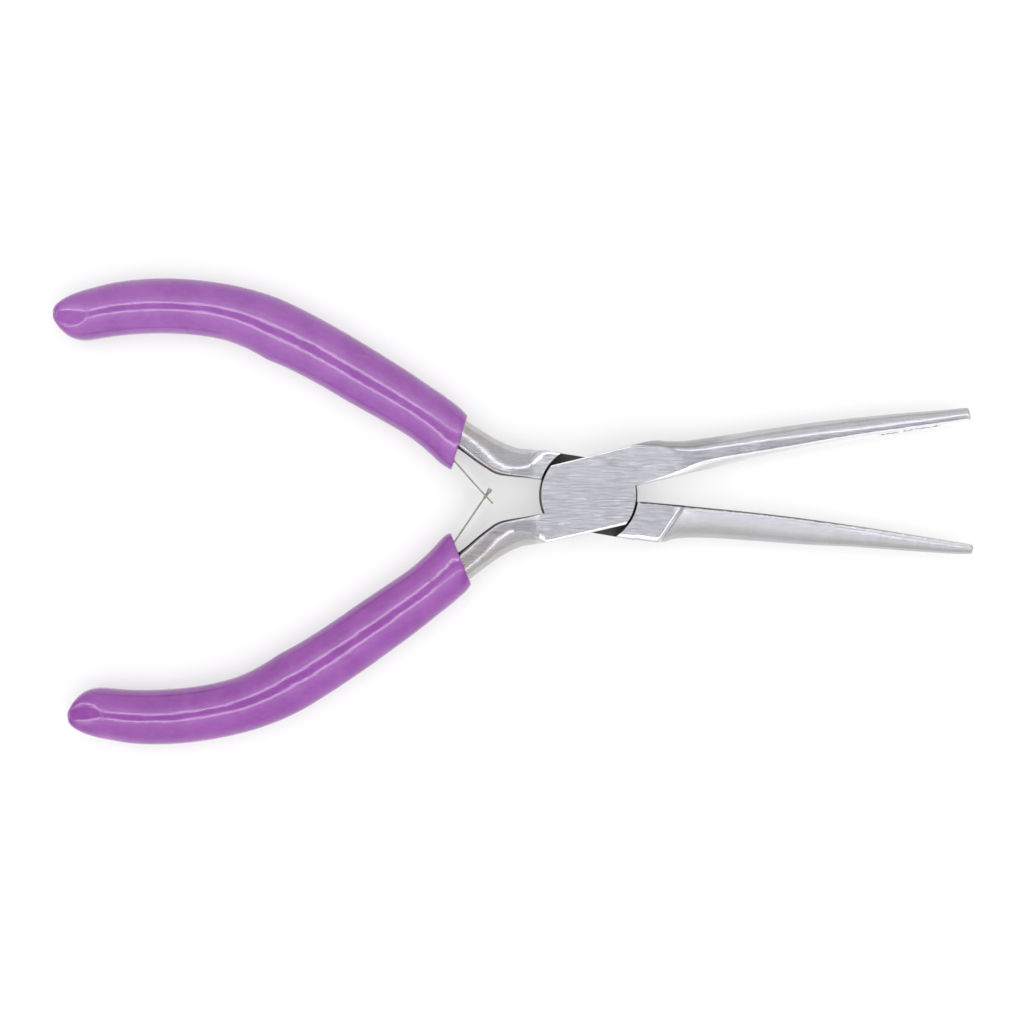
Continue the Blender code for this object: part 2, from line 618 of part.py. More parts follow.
def leaf_path(level, side):
    """Centre line of the leaf's foot, along the tang's inner edge and out to the root."""
    angle = math.radians(LEAF[level]["angle"])
    aim = Vector((math.cos(angle), math.sin(angle)))
    end = Vector(LEAF[level]["root"]) - LEAF_GAP * aim
    points = [Vector(inner) + (FOOT_GAP + LEAF_THICKNESS / 2) * outward(outer, inner)
              for outer, inner in reversed(sleeved_pairs(side, LEAF_PAIRS))]
    start = points[-1]
    lead = (start - points[-2]).normalized()
    reach = (end - start).length
    # a cubic that leaves along the tang and arrives along the blade
    for i in range(1, BEND_STEPS + 1):
        part = i / BEND_STEPS
        points.append((1 - part) ** 3 * start
                      + 3 * (1 - part) ** 2 * part * (start + lead * reach * BEND_LEAD)
                      + 3 * (1 - part) * part**2 * (end - aim * reach * BEND_ARRIVAL)
                      + part**3 * end)
    return points


def upper_outlines():
    """The upper blade's rim and window, (along, across)."""
    leaf = LEAF["upper"]
    side, end = LEAF_WIDTH / 2, leaf["length"]
    shoulder, corner = end - UPPER_CHAMFER, side - UPPER_CHAMFER
    rim = [(0, -side), (shoulder, -side), (end, -corner), (end, corner), (shoulder, side),
           (0, side)]
    near, far = leaf["window"]
    edge = leaf["window_width"] / 2
    return [rim, [(near, -edge), (near, edge), (far, edge), (far, -edge)]]


def lower_outlines():
    """The lower blade's rim, (along, across), mirrored about its centre line."""
    leaf = LEAF["lower"]
    tongue_side, head_side = leaf["tongue_width"] / 2, leaf["head_width"] / 2
    tongue, head, end = leaf["tongue"], leaf["head"], leaf["length"]
    side = [(0, LEAF_WIDTH / 2), (tongue - TONGUE_TAPER, LEAF_WIDTH / 2), (tongue, tongue_side),
            (head, tongue_side), (head, head_side), (end - HEAD_CHAMFER, head_side),
            (end, head_side - HEAD_CHAMFER)]
    return [[(x, -y) for x, y in side] + side[::-1]]


def plate(name, outlines, parent, surface):
    """A flat plate from closed outlines, half the leaf's thickness to each side."""
    curve = bpy.data.curves.new(name, "CURVE")
    curve.dimensions = "2D"
    curve.fill_mode = "BOTH"
    curve.extrude = LEAF_THICKNESS / 2 * MILLIMETRE
    for points in outlines:
        spline = curve.splines.new("POLY")
        spline.points.add(len(points) - 1)
        for target, (x, y) in zip(spline.points, points):
            target.co = (x * MILLIMETRE, y * MILLIMETRE, 0, 1)
        spline.use_cyclic_u = True
    return add(name, curve, parent, surface)


def make_leaf_foot(level, side):
    steel = material("spring_steel_" + level, colour=(0.33, 0.30, 0.27), roughness=0.38)
    foot = strip(level + "_spring_foot", leaf_path(level, side), LEAF_WIDTH / 2, LEAF_THICKNESS,
                 AXIS[side], steel)
    cut(foot, foot_hole("foot_pierce_" + level, side, LEAF_HOLE_BOTTOM))


def make_leaf_blade(level, side):
    """The blade, on an empty on the line where the leaf flexes, with x along the leaf."""
    leaf = LEAF[level]
    hinge = empty(level + "_spring_axis", (*leaf["root"], 0),
                  (0, 0, math.radians(leaf["angle"])), AXIS[side])
    steel = material("spring_blade_" + level, colour=(0.35, 0.32, 0.29), roughness=0.35)
    outlines = upper_outlines() if level == "upper" else lower_outlines()
    blade = plate(level + "_spring_blade", outlines, hinge, steel)
    blade.rotation_euler = (math.pi / 2, 0, 0)


# ---- dipped grips -------------------------------------------------------------------------------
BUTT_HALF_DEPTH = GRIP_HALF_DEPTH - 0.25
# Half depth over the grip's edge pairs, (place counted from the mouth, half depth)
GRIP_DEPTH = [(0.0, GRIP_HALF_DEPTH - 0.35), (1.0, GRIP_HALF_DEPTH - 0.05),
              (3.0, GRIP_HALF_DEPTH), (16.0, GRIP_HALF_DEPTH), (18.0, BUTT_HALF_DEPTH)]
# The blunt end: edge pairs, and the share of the butt's depth left at each
GRIP_END = [(((-87.9, -21.3), (-86.6, -14.95)), 0.8), (((-89.1, -20.1), (-88.1, -16.45)), 0.5),
            (((-89.55, -19.0), (-89.3, -17.9)), 0.24)]
GRIP_REACH = 0.45            # corner reach as a share of the width
GRIP_SIDE = 0.5
GRIP_CREASE = 87.0
GRIP_POWER = 0.86            # under 1 fills the corners out beyond an ellipse

CAVITY_START = 4             # first shank pair in the cavity, ahead of the mouth
CAVITY_DEPTH = SHANK_DEPTH[:5]
CAVITY_REACH = 1.5           # corner reach, at most
CAVITY_REACH_SHARE = 0.4     # and at most this share of the width
CAVITY_SIDE = 1.2
CAVITY_CREASE = 84.0
CAVITY_END_RUN = 1.6         # behind the tang's last edge pair
SLOT_RUN = 3.0               # leaf slot ahead of the leaf's foot


def grip_station(pair, depth, shrink=1.0):
    corner = (GRIP_REACH * math.dist(*pair), GRIP_SIDE * shrink, GRIP_CREASE)
    return station(*pair, depth, depth, corner, power=GRIP_POWER)


def grip_stations(side):
    body = [grip_station(pair, smooth(GRIP_DEPTH, i)) for i, pair in enumerate(grip_pairs(side))]
    end = [grip_station(set_handle(side, pair), BUTT_HALF_DEPTH * shrink, shrink)
           for pair, shrink in GRIP_END]
    return body + end


def cavity_stations(side):
    """The tang's outline grown by the fitting gap, run out past the mouth."""
    stations = []
    for pair in tang_pairs(side)[CAVITY_START:]:
        low, high = inset(pair, -GRIP_GAP, -GRIP_GAP)
        depth = smooth(CAVITY_DEPTH, (low[0] + high[0]) / 2) + GRIP_GAP
        reach = min(CAVITY_REACH, CAVITY_REACH_SHARE * math.dist(low, high))
        corner = (reach, CAVITY_SIDE, CAVITY_CREASE)
        stations.append(station(low, high, depth, depth, corner, steps=3, flat=1))
    low, high, section = stations[-1]
    run = (Vector(low) - Vector(stations[-2][0])).normalized() * CAVITY_END_RUN
    stations.append(((low[0] + run.x, low[1] + run.y), (high[0] + run.x, high[1] + run.y),
                     section))
    return stations


def leaf_slot(level, side):
    """Room for the leaf's foot, run on at both ends."""
    path = leaf_path(level, side)
    ahead = (path[-1] - path[-2]).normalized()
    behind = (path[0] - path[1]).normalized()
    points = [path[0] + behind * GRIP_GAP] + path[1:] + [path[-1] + ahead * SLOT_RUN]
    return strip("leaf_slot_" + level, points, LEAF_WIDTH / 2 + GRIP_GAP,
                 LEAF_THICKNESS + 2 * GRIP_GAP, AXIS[side], cutter=True)


def make_grip(level, side, colour):
    violet = material("violet_pvc_" + level, colour=colour, roughness=0.3, metallic=0.0)
    name = level + "_grip"
    grip = add(name, loft(name, grip_stations(side)), AXIS[side], violet)
    name = "cavity_" + level
    cut(grip, add(name, loft(name, cavity_stations(side)), AXIS[side], cutter=True))
    cut(grip, leaf_slot(level, side))
    cut(grip, cylinder("head_pocket_" + level, FOOT_RIVET_HEAD + GRIP_GAP, POCKET_BOTTOM,
                       HEAD_SEAT + HEAD_HEIGHT + GRIP_GAP, AXIS[side], FOOT_SEGMENTS,
                       matrix=foot_frame(side)))


# ---- build --------------------------------------------------------------------------------------
VIOLET = {"upper": (0.36, 0.13, 0.43), "lower": (0.37, 0.14, 0.45)}

make_half("front", colour=(0.60, 0.60, 0.63))
make_half("rear", colour=(0.58, 0.58, 0.61))
make_pivot_rivet()
for level, side in HANDLES:
    make_leaf_foot(level, side)
    make_leaf_blade(level, side)
    make_foot_rivet(level, side)
    make_grip(level, side, VIOLET[level])
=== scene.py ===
"""Looks of the round nose pliers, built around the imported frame.

World frame: origin on the pivot axis in the back face, +X to the jaw tips, +Z out of the front face.
Each half, with its grip and leaf spring, is formed in that half's own frame (x along the closed
pliers, jaw at +y, handle at -y, z = 0 in the lap plane) and carried to its rest place by AXIS.
"""

import math

import bmesh
import bpy
from mathutils import Matrix, Vector, noise


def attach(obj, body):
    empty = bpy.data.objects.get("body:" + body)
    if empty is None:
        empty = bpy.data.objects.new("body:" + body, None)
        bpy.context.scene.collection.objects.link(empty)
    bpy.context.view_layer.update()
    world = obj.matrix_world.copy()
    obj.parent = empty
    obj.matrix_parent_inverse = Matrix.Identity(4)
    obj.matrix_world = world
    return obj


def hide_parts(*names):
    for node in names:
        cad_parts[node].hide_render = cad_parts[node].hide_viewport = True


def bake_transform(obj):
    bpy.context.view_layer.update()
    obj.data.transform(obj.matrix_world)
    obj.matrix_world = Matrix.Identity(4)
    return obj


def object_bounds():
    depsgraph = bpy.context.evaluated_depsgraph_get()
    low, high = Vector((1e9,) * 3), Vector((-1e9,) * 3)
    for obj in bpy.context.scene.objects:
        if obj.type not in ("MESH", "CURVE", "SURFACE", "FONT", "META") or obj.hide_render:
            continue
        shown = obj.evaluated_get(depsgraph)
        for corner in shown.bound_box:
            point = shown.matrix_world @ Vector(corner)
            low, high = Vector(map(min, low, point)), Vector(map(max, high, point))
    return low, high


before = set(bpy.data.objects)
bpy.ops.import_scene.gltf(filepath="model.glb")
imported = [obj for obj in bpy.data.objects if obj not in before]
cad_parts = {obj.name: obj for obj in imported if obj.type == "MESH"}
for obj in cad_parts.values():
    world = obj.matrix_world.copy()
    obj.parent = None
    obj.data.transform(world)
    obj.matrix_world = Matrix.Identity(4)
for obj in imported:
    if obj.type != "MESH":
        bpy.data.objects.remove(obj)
cad_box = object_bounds()

MM = 0.001  # metres in a millimetre

# ---- driving dimensions, millimetres and degrees ------------------------------------------------
JOINT_THICKNESS = 8.0        # over both bosses, face to face
HALF_T = JOINT_THICKNESS / 2
REST_HALF_ANGLE = 9.2        # each half's angle to the centreline at rest, sprung open
CLOSED_TRIM = 0.15           # half angle left between the half frames when the jaws touch
BOSS_RADIUS = 7.76           # machined ends of each boss, about the pivot
END_RADIUS = BOSS_RADIUS + 0.12  # a boss's end at the lap plane
RIM_RADIUS = BOSS_RADIUS - 0.16  # the same end, drawn in at its face
RIM_DROP = 0.8               # height over which it draws in
RECESS_RADIUS = 8.0          # the other half's recess around them
LAP_GAP = 0.05               # each lap face to the lap plane
RIVET_RADIUS = 2.5
RIVET_HEAD_RADIUS = 3.1      # swollen into the countersinks, ground flush
RIVET_HEAD_DEPTH = 0.6
RIVET_CLEARANCE = 0.06
RIVET_SEAM = 0.004           # what is left of the clearance around the swollen rivet
JAW_TIP = {"front": 63.2, "rear": 62.9}  # pivot axis to each jaw's tip
JAW_ROOT = 8.2               # where the jaw's sections meet the boss
LEAF_THICKNESS = 0.35
LEAF_EDGE = 0.27             # ground thinner than the blank towards its edge
LEAF_WIDTH = 4.0
LEAF_GAP = 0.3               # foot to blade, at the line where the leaf flexes
FOOT_GAP = 0.12              # leaf foot to tang
GRIP_WALL_OUTER = 1.45
GRIP_WALL_INNER = 1.9        # sleeve wall over the leaf foot, leaf included
GRIP_HALF_DEPTH = 4.1
TANG_HALF_DEPTH = 2.6
FIT = 0.03                   # grip to steel, seen at the mouth
SLOT_FIT = 0.06              # grip to leaf, each side
FOOT_HOLE_RADIUS = 0.8 + 0.06  # foot rivet and its clearance
FOOT_POCKET_RADIUS = 1.5 + 0.1  # foot rivet's head and its clearance
FOOT_STATION = 7             # grip pair at which the foot rivet stands
BRUSH_ANGLE = 10.5           # the joint faces were ground along this line, against each half's x

SIDE_OF = {"upper": "rear", "lower": "front"}  # each grip and leaf belongs to one half

# Outer edge of each jaw, (x, y) in the half's frame
JAW_OUTER = {
    "front": [(8.0, 6.46), (11.2, 6.6), (12.5, 6.5), (13.8, 6.16), (15.2, 5.88), (17.5, 5.52),
              (21.5, 5.3), (29.5, 4.94), (37.5, 4.48), (45.0, 3.86), (53.0, 3.05), (60.0, 2.25),
              (63.2, 1.95)],
    "rear": [(8.0, 6.15), (11.0, 6.17), (12.0, 6.14), (13.2, 5.95), (14.4, 5.42), (16.0, 4.98),
             (18.5, 4.62), (21.0, 4.37), (28.5, 3.94), (36.5, 3.5), (44.0, 2.92), (52.0, 2.5),
             (60.0, 2.0), (62.9, 1.7)],
}
JAW_BOW = {"front": 0.55, "rear": -0.55}  # both bow the same way in the world, so they nest
BOW_START = 9.0
BOW_LENGTH = 48.0
JAW_EDGE = 0.03              # inner edge above the half's x axis, before trim and bow

# Shank and tang, from the joint backwards: (outer, inner) edge points, each (x, y)
SHANK = [((-8.2, -6.2), (-8.2, -1.5)), ((-10.0, -6.12), (-10.2, -1.48)),
         ((-11.8, -6.08), (-12.2, -1.42)), ((-13.4, -6.32), (-14.0, -1.38)),
         ((-14.6, -6.65), (-15.3, -1.55)), ((-16.0, -7.12), (-17.0, -2.25)),
         ((-17.6, -7.85), (-18.9, -3.2)), ((-19.5, -8.72), (-21.3, -4.55)),
         ((-22.0, -9.95), (-24.0, -5.75)), ((-25.0, -11.55), (-27.2, -6.9))]
# The two handles are set a touch differently: y per x behind SPREAD_START
HANDLE_SPREAD = {"front": -0.0058, "rear": 0.0038}
SPREAD_START = -24.0
# Grip, from the mouth backwards: (outer, inner) edge points
MOUTH = {"front": ((-21.25, -10.55), (-22.95, -1.6)), "rear": ((-20.85, -10.35), (-22.4, -1.15))}
GRIP = [((-22.3, -11.5), (-24.2, -1.95)), ((-23.8, -12.4), (-26.4, -3.5)),
        ((-25.2, -13.2), (-28.3, -4.75)), ((-27.4, -14.3), (-31.0, -6.2)),
        ((-31.2, -16.25), (-35.0, -7.9)), ((-36.2, -18.6), (-40.0, -9.95)),
        ((-41.4, -20.95), (-45.0, -12.1)), ((-46.9, -23.2), (-50.0, -14.0)),
        ((-51.4, -24.85), (-53.4, -15.1)), ((-54.6, -25.75), (-55.8, -16.0)),
        ((-58.2, -26.4), (-59.2, -17.05)), ((-62.2, -26.8), (-62.4, -17.65)),
        ((-66.8, -26.85), (-66.5, -17.8)), ((-71.6, -26.55), (-70.5, -17.55)),
        ((-76.2, -25.85), (-74.5, -17.0)), ((-80.4, -24.8), (-78.5, -16.2)),
        ((-84.2, -23.5), (-82.3, -15.25))]
# The blunt dipped end: (outer, inner) edge points and the share of the full depth left there
BUTT = [(((-84.2, -23.35), (-82.5, -15.08)), 1.0), (((-85.4, -22.8), (-83.7, -14.78)), 0.995),
        (((-86.5, -22.2), (-84.9, -14.7)), 0.98), (((-87.4, -21.6), (-86.1, -14.95)), 0.955),
        (((-88.1, -21.0), (-87.1, -15.5)), 0.915), (((-88.7, -20.4), (-88.0, -16.2)), 0.85),
        (((-89.12, -19.85), (-88.7, -16.95)), 0.75), (((-89.38, -19.3), (-89.2, -17.6)), 0.58),
        (((-89.49, -18.75), (-89.45, -18.25)), 0.30)]

# Leaf springs: root at the grip's mouth, angle there in the half's frame, lengths along the blade
LEAF = {
    "upper": {"root": (-21.6, -2.3), "angle": 40.7, "length": 8.6, "bow": 0.06,
              "window": (6.15, 7.85), "window_width": 2.2},
    "lower": {"root": (-22.2, -2.8), "angle": 44.6, "length": 9.75, "bow": 0.0,
              "tongue": 6.85, "tongue_width": 1.5, "head": 9.1, "head_width": 3.0},
}
# The lower leaf's T-head: where its strip starts to thicken, and how many times at neck and head
THICK_START = 7.9
NECK_SWELL = 1.7
HEAD_SWELL = 2.6

LAP_PLACE = Matrix.Translation((0, 0, HALF_T * MM))
AXIS = {
    "front": LAP_PLACE @ Matrix.Rotation(math.radians(REST_HALF_ANGLE), 4, "Z"),
    "rear": LAP_PLACE @ Matrix.Rotation(-math.radians(REST_HALF_ANGLE), 4, "Z")
    @ Matrix.Rotation(math.pi, 4, "X"),
}


# ---- curves and edges ---------------------------------------------------------------------------
def smooth(table, x):
    """A table [(x, value), ...] read smoothly at x, without overshoot between its entries."""
    if x <= table[0][0]:
        return table[0][1]
    if x >= table[-1][0]:
        return table[-1][1]
    slopes = [(b[1] - a[1]) / (b[0] - a[0]) for a, b in zip(table, table[1:])]
    k = next(i for i in range(len(slopes)) if x <= table[i + 1][0])

    def tangent(i):
        if i == 0 or i == len(slopes):
            return slopes[0] if i == 0 else slopes[-1]
        before, after = slopes[i - 1], slopes[i]
        return 0.0 if before * after <= 0 else 2 * before * after / (before + after)

    (x0, y0), (x1, y1) = table[k], table[k + 1]
    gap = x1 - x0
    share = (x - x0) / gap
    return ((2 * share**3 - 3 * share**2 + 1) * y0
            + (share**3 - 2 * share**2 + share) * gap * tangent(k)
            + (3 * share**2 - 2 * share**3) * y1 + (share**3 - share**2) * gap * tangent(k + 1))


def smooth_all(tables, x):
    """Every table of a dictionary read at x."""
    return {name: smooth(table, x) for name, table in tables.items()}


def along(points, place_on):
    """A smooth point at place_on in 0..len-1 along a list of points."""
    return tuple(smooth([(i, p[axis]) for i, p in enumerate(points)], place_on)
                 for axis in range(2))


def catmull_rom(points, place_on):
    """As along(), but as a Catmull-Rom curve, so that the edges run without kinks."""
    i = min(int(place_on), len(points) - 2)
    f = place_on - i
    near = [points[max(0, i - 1)], points[i], points[i + 1], points[min(len(points) - 1, i + 2)]]
    return tuple(0.5 * (2 * b + (c - a) * f + (2 * a - 5 * b + 4 * c - d) * f * f
                        + (3 * b - a - 3 * c + d) * f**3)
                 for a, b, c, d in zip(*near))


def mix(start, end, share):
    return start + (end - start) * share


def distance(start, end):
    return math.hypot(end[0] - start[0], end[1] - start[1])


def jaw_inner(side, x):
    bow = JAW_BOW[side] * math.sin(math.pi * (x - BOW_START) / BOW_LENGTH)
    return JAW_EDGE - math.sin(math.radians(CLOSED_TRIM)) * x + bow


def inset(pair, outer_wall, inner_wall):
    """An edge pair moved inwards by a wall at each edge."""
    outer, inner = pair
    span = distance(outer, inner)
    ux, uy = (inner[0] - outer[0]) / span, (inner[1] - outer[1]) / span
    return ((outer[0] + outer_wall * ux, outer[1] + outer_wall * uy),
            (inner[0] - inner_wall * ux, inner[1] - inner_wall * uy))


def set_handle(side, pair):
    """An edge pair with its side's own setting of the handle."""
    return tuple((x, y + HANDLE_SPREAD[side] * max(0.0, SPREAD_START - x)) for x, y in pair)


def grip_pairs(side):
    return [MOUTH[side]] + [set_handle(side, pair) for pair in GRIP]


def steel_pair(pair):
    """The tang's edges inside a grip pair."""
    return inset(pair, GRIP_WALL_OUTER, GRIP_WALL_INNER)


def tang_pairs(side):
    return SHANK + [steel_pair(pair) for pair in grip_pairs(side)[4:]]


def foot_frame(side):
    """Where the leaf's rivet stands on the tang: a point on its inner edge, z out of the steel."""
    outer, inner = steel_pair(grip_pairs(side)[FOOT_STATION])
    out = Vector((inner[0] - outer[0], inner[1] - outer[1], 0)).normalized()
    across = Vector((0, 0, 1))
    matrix = Matrix((across.cross(out), across, out)).transposed().to_4x4()
    matrix.translation = Vector((inner[0] * MM, inner[1] * MM, 0))
    return matrix


def blade_axes(which):
    """The blade's root, its direction and the direction through its thickness."""
    angle = math.radians(LEAF[which]["angle"])
    direction = Vector((math.cos(angle), math.sin(angle)))
    return Vector(LEAF[which]["root"]), direction, Vector((-direction.y, direction.x))


def leaf_path(which, side):
    """Centre line of the leaf's foot, along the tang's inner edge and out to the root."""
    root, aim, _ = blade_axes(which)
    end = root - LEAF_GAP * aim
    points = []
    for pair in reversed(grip_pairs(side)[5:10]):
        outer, inner = steel_pair(pair)
        out = Vector((inner[0] - outer[0], inner[1] - outer[1])).normalized()
        points.append(Vector(inner) + (FOOT_GAP + LEAF_THICKNESS / 2) * out)
    start = points[-1]
    lead = (points[-1] - points[-2]).normalized()
    reach = (end - start).length
    for i in range(1, 9):
        f = i / 8
        # a cubic that leaves along the tang and arrives along the blade
        points.append((1 - f) ** 3 * start + 3 * (1 - f) ** 2 * f * (start + lead * reach * 0.45)
                      + 3 * (1 - f) * f**2 * (end - aim * reach * 0.3) + f**3 * end)
    return points


# ---- meshes -------------------------------------------------------------------------------------
def corner_arc(width, corner, z_flat, steps):
    """One corner of a section, from the side wall up to the flat.

    A corner is (reach, side height, crease angle, power); a power over 1 pinches it to a facet.
    """
    reach, z_side, crease, power = corner
    end = math.radians(crease)
    points = []
    for i in range(steps + 1):
        a = end * i / steps
        points.append((
            width - reach * (1 - math.cos(a) ** power) / (1 - math.cos(end) ** power),
            z_side + (z_flat - z_side) * math.sin(a) ** power / math.sin(end) ** power))
    return points


def section(width, top, bottom, corners, steps, flat, crisp=0.0):
    """A closed section (u, z), u running 0..width from the low edge to the high one.

    corners gives each corner_arc; crisp is how far a corner's shading runs into its flat, zero for
    all the way.
    """
    high_top = corner_arc(width, corners["high_top"], top, steps)
    low_top = corner_arc(width, corners["low_top"], top, steps)
    low_bottom = corner_arc(width, corners["low_bottom"], bottom, steps)
    high_bottom = corner_arc(width, corners["high_bottom"], bottom, steps)
    low_top = [(width - u, z) for u, z in reversed(low_top)]
    low_bottom = [(width - u, -z) for u, z in low_bottom]
    high_bottom = [(u, -z) for u, z in reversed(high_bottom)]

    def between(start, end):
        shares = [i / flat for i in range(1, flat)]
        if crisp:
            margin = min(0.3, crisp / max(1e-9, distance(start, end)))
            shares = [margin] + shares[1:-1] + [1 - margin]
        return [(mix(start[0], end[0], k), mix(start[1], end[1], k)) for k in shares]

    return (high_top + between(high_top[-1], low_top[0]) + low_top
            + low_bottom + between(low_bottom[-1], high_bottom[0]) + high_bottom)


def shrink(points, width, factor):
    """The same section drawn in about its middle."""
    return [(width / 2 + (u - width / 2) * factor, z * factor) for u, z in points]


def close_shape(shape, rings):
    """Joins rings of vertices into a tube and caps both ends."""
    for ring, following in zip(rings, rings[1:]):
        for i in range(len(ring)):
            j = (i + 1) % len(ring)
            shape.faces.new((ring[i], ring[j], following[j], following[i]))
    shape.faces.new(rings[0])
    shape.faces.new(rings[-1])
    bmesh.ops.recalc_face_normals(shape, faces=shape.faces)
    return shape


def skin(stations):
    """A solid through stations (low edge point, high edge point, section)."""
    shape = bmesh.new()
    rings = []
    for low, high, points in stations:
        span = distance(low, high)
        ux, uy = (high[0] - low[0]) / span, (high[1] - low[1]) / span
        rings.append([shape.verts.new(((low[0] + u * ux) * MM, (low[1] + u * uy) * MM, z * MM))
                      for u, z in points])
    return close_shape(shape, rings)


def to_mesh(shape, name):
    mesh = bpy.data.meshes.new(name)
    shape.to_mesh(mesh)
    shape.free()
    return mesh


def place(name, shape, material=None):
    obj = bpy.data.objects.new(name, to_mesh(shape, name))
    bpy.context.scene.collection.objects.link(obj)
    if material is not None:
        obj.data.materials.append(material)
    return obj


def cylinder(radius, z_low, z_high, segments, matrix=Matrix.Identity(4)):
    shape = bmesh.new()
    bmesh.ops.create_cone(shape, cap_ends=True, segments=segments, radius1=radius * MM,
                          radius2=radius * MM, depth=(z_high - z_low) * MM)
    bmesh.ops.translate(shape, verts=shape.verts, vec=(0, 0, (z_low + z_high) / 2 * MM))
    bmesh.ops.transform(shape, matrix=matrix, verts=shape.verts)
    return shape


def box(low, high, matrix=Matrix.Identity(4)):
    shape = bmesh.new()
    bmesh.ops.create_cube(shape, size=1.0)
    bmesh.ops.scale(shape, vec=[(b - a) * MM for a, b in zip(low, high)], verts=shape.verts)
    bmesh.ops.translate(shape, vec=[(a + b) / 2 * MM for a, b in zip(low, high)],
                        verts=shape.verts)
    bmesh.ops.transform(shape, matrix=matrix, verts=shape.verts)
    return shape


def turned(profile, segments):
    """A closed turned piece about z from an (r, z) profile that starts and ends on the axis."""
    shape = bmesh.new()
    rows = []
    for r, z in profile:
        if r == 0:
            rows.append([shape.verts.new((0, 0, z * MM))])
        else:
            turns = [2 * math.pi * i / segments for i in range(segments)]
            rows.append([shape.verts.new((r * MM * math.cos(a), r * MM * math.sin(a), z * MM))
                         for a in turns])
    for a, b in zip(rows, rows[1:]):
        for i in range(segments):
            j = (i + 1) % segments
            if len(a) == 1:
                shape.faces.new((a[0], b[i], b[j]))
            elif len(b) == 1:
                shape.faces.new((a[i], a[j], b[0]))
            else:
                shape.faces.new((a[i], a[j], b[j], b[i]))
    bmesh.ops.recalc_face_normals(shape, faces=shape.faces)
    return shape


def cut(obj, tools):
    """Cuts tools [(bmesh or object, material), ...] away one by one and keeps the plain result."""
    for tool, material in tools:
        other = tool if isinstance(tool, bpy.types.Object) else place("tool", tool)
        if material is not None:
            other.data.materials.append(material)
        modifier = obj.modifiers.new("cut", "BOOLEAN")
        modifier.operation = "DIFFERENCE"
        modifier.solver = "EXACT"
        modifier.material_mode = "TRANSFER"
        modifier.object = other
        bpy.context.view_layer.update()
        evaluated = obj.evaluated_get(bpy.context.evaluated_depsgraph_get())
        result = bpy.data.meshes.new_from_object(evaluated)
        obj.modifiers.clear()
        obj.data = result
        bpy.data.objects.remove(other, do_unlink=True)
    return obj


def block_minus_disc(low, high, material):
    """A cutting block that leaves the boss's end standing."""
    tool = place("tool_block", box(low, high), material)
    profile = [(0.0, 9.7), (RIM_RADIUS, 9.7), (RIM_RADIUS, HALF_T),
               (END_RADIUS, HALF_T - RIM_DROP), (END_RADIUS, -9.7), (0.0, -9.7)]
    return cut(tool, [(turned(profile, 200), material)])


def carry(obj, side, sharp):
    """Moves a finished mesh from its half's frame to the world, with clean normals."""
    obj.data.transform(AXIS[side])
    obj.data.shade_smooth()
    obj.data.set_sharp_from_angle(angle=math.radians(sharp))
    obj.data.update()
    obj.data.name = obj.name


def weight_normals(obj):
    modifier = obj.modifiers.new("weighted_normals", "WEIGHTED_NORMAL")
    modifier.keep_sharp = True
    modifier.weight = 80


# ---- shader helpers -----------------------------------------------------------------------------
class Field:
    """One output socket. Its arithmetic and methods add nodes that work on it."""

    def __init__(self, tree, socket):
        self.tree = tree
        self.socket = socket

    def __add__(self, other):
        return self.tree.math("ADD", self, other)

    def __radd__(self, other):
        return self.tree.math("ADD", other, self)

    def __sub__(self, other):
        return self.tree.math("SUBTRACT", self, other)

    def __rsub__(self, other):
        return self.tree.math("SUBTRACT", other, self)

    def __mul__(self, other):
        return self.tree.math("MULTIPLY", self, other)

    def __truediv__(self, other):
        return self.tree.math("DIVIDE", self, other)

    def __abs__(self):
        return self.tree.math("ABSOLUTE", self)

    def swing(self, amount):
        """A noise field centred on zero and scaled."""
        return (self - 0.5) * amount

    def step(self, start, end, before=0.0, after=1.0):
        """A smooth ramp from before, at start, to after, at end."""
        inputs = {"Value": self, "From Min": start, "From Max": end,
                  "To Min": before, "To Max": after}
        return self.tree.field("ShaderNodeMapRange", inputs, "Result",
                               interpolation_type="SMOOTHSTEP")

    def vector(self, operation, inputs, output="Vector"):
        return self.tree.field("ShaderNodeVectorMath", {0: self, **inputs}, output,
                               operation=operation)

    def stretch(self, x, y, z):
        return self.vector("MULTIPLY", {1: (x, y, z)})

    def turn(self, degrees):
        inputs = {"Vector": self, "Angle": math.radians(degrees)}
        return self.tree.field("ShaderNodeVectorRotate", inputs, rotation_type="Z_AXIS")

    def split(self):
        node = self.tree.put("ShaderNodeSeparateXYZ", {0: self})
        return [Field(self.tree, output) for output in node.outputs]

    def noise(self, scale=1.0, detail=2.0, rough=0.5, warp=0.0):
        inputs = {"Vector": self, "Scale": scale, "Detail": detail, "Roughness": rough,
                  "Distortion": warp}
        return self.tree.field("ShaderNodeTexNoise", inputs, "Fac", noise_dimensions="3D")

    def spots(self, scale):
        """Distance to the nearest of scattered points."""
        return self.tree.field("ShaderNodeTexVoronoi", {"Vector": self, "Scale": scale},
                               "Distance", feature="F1")


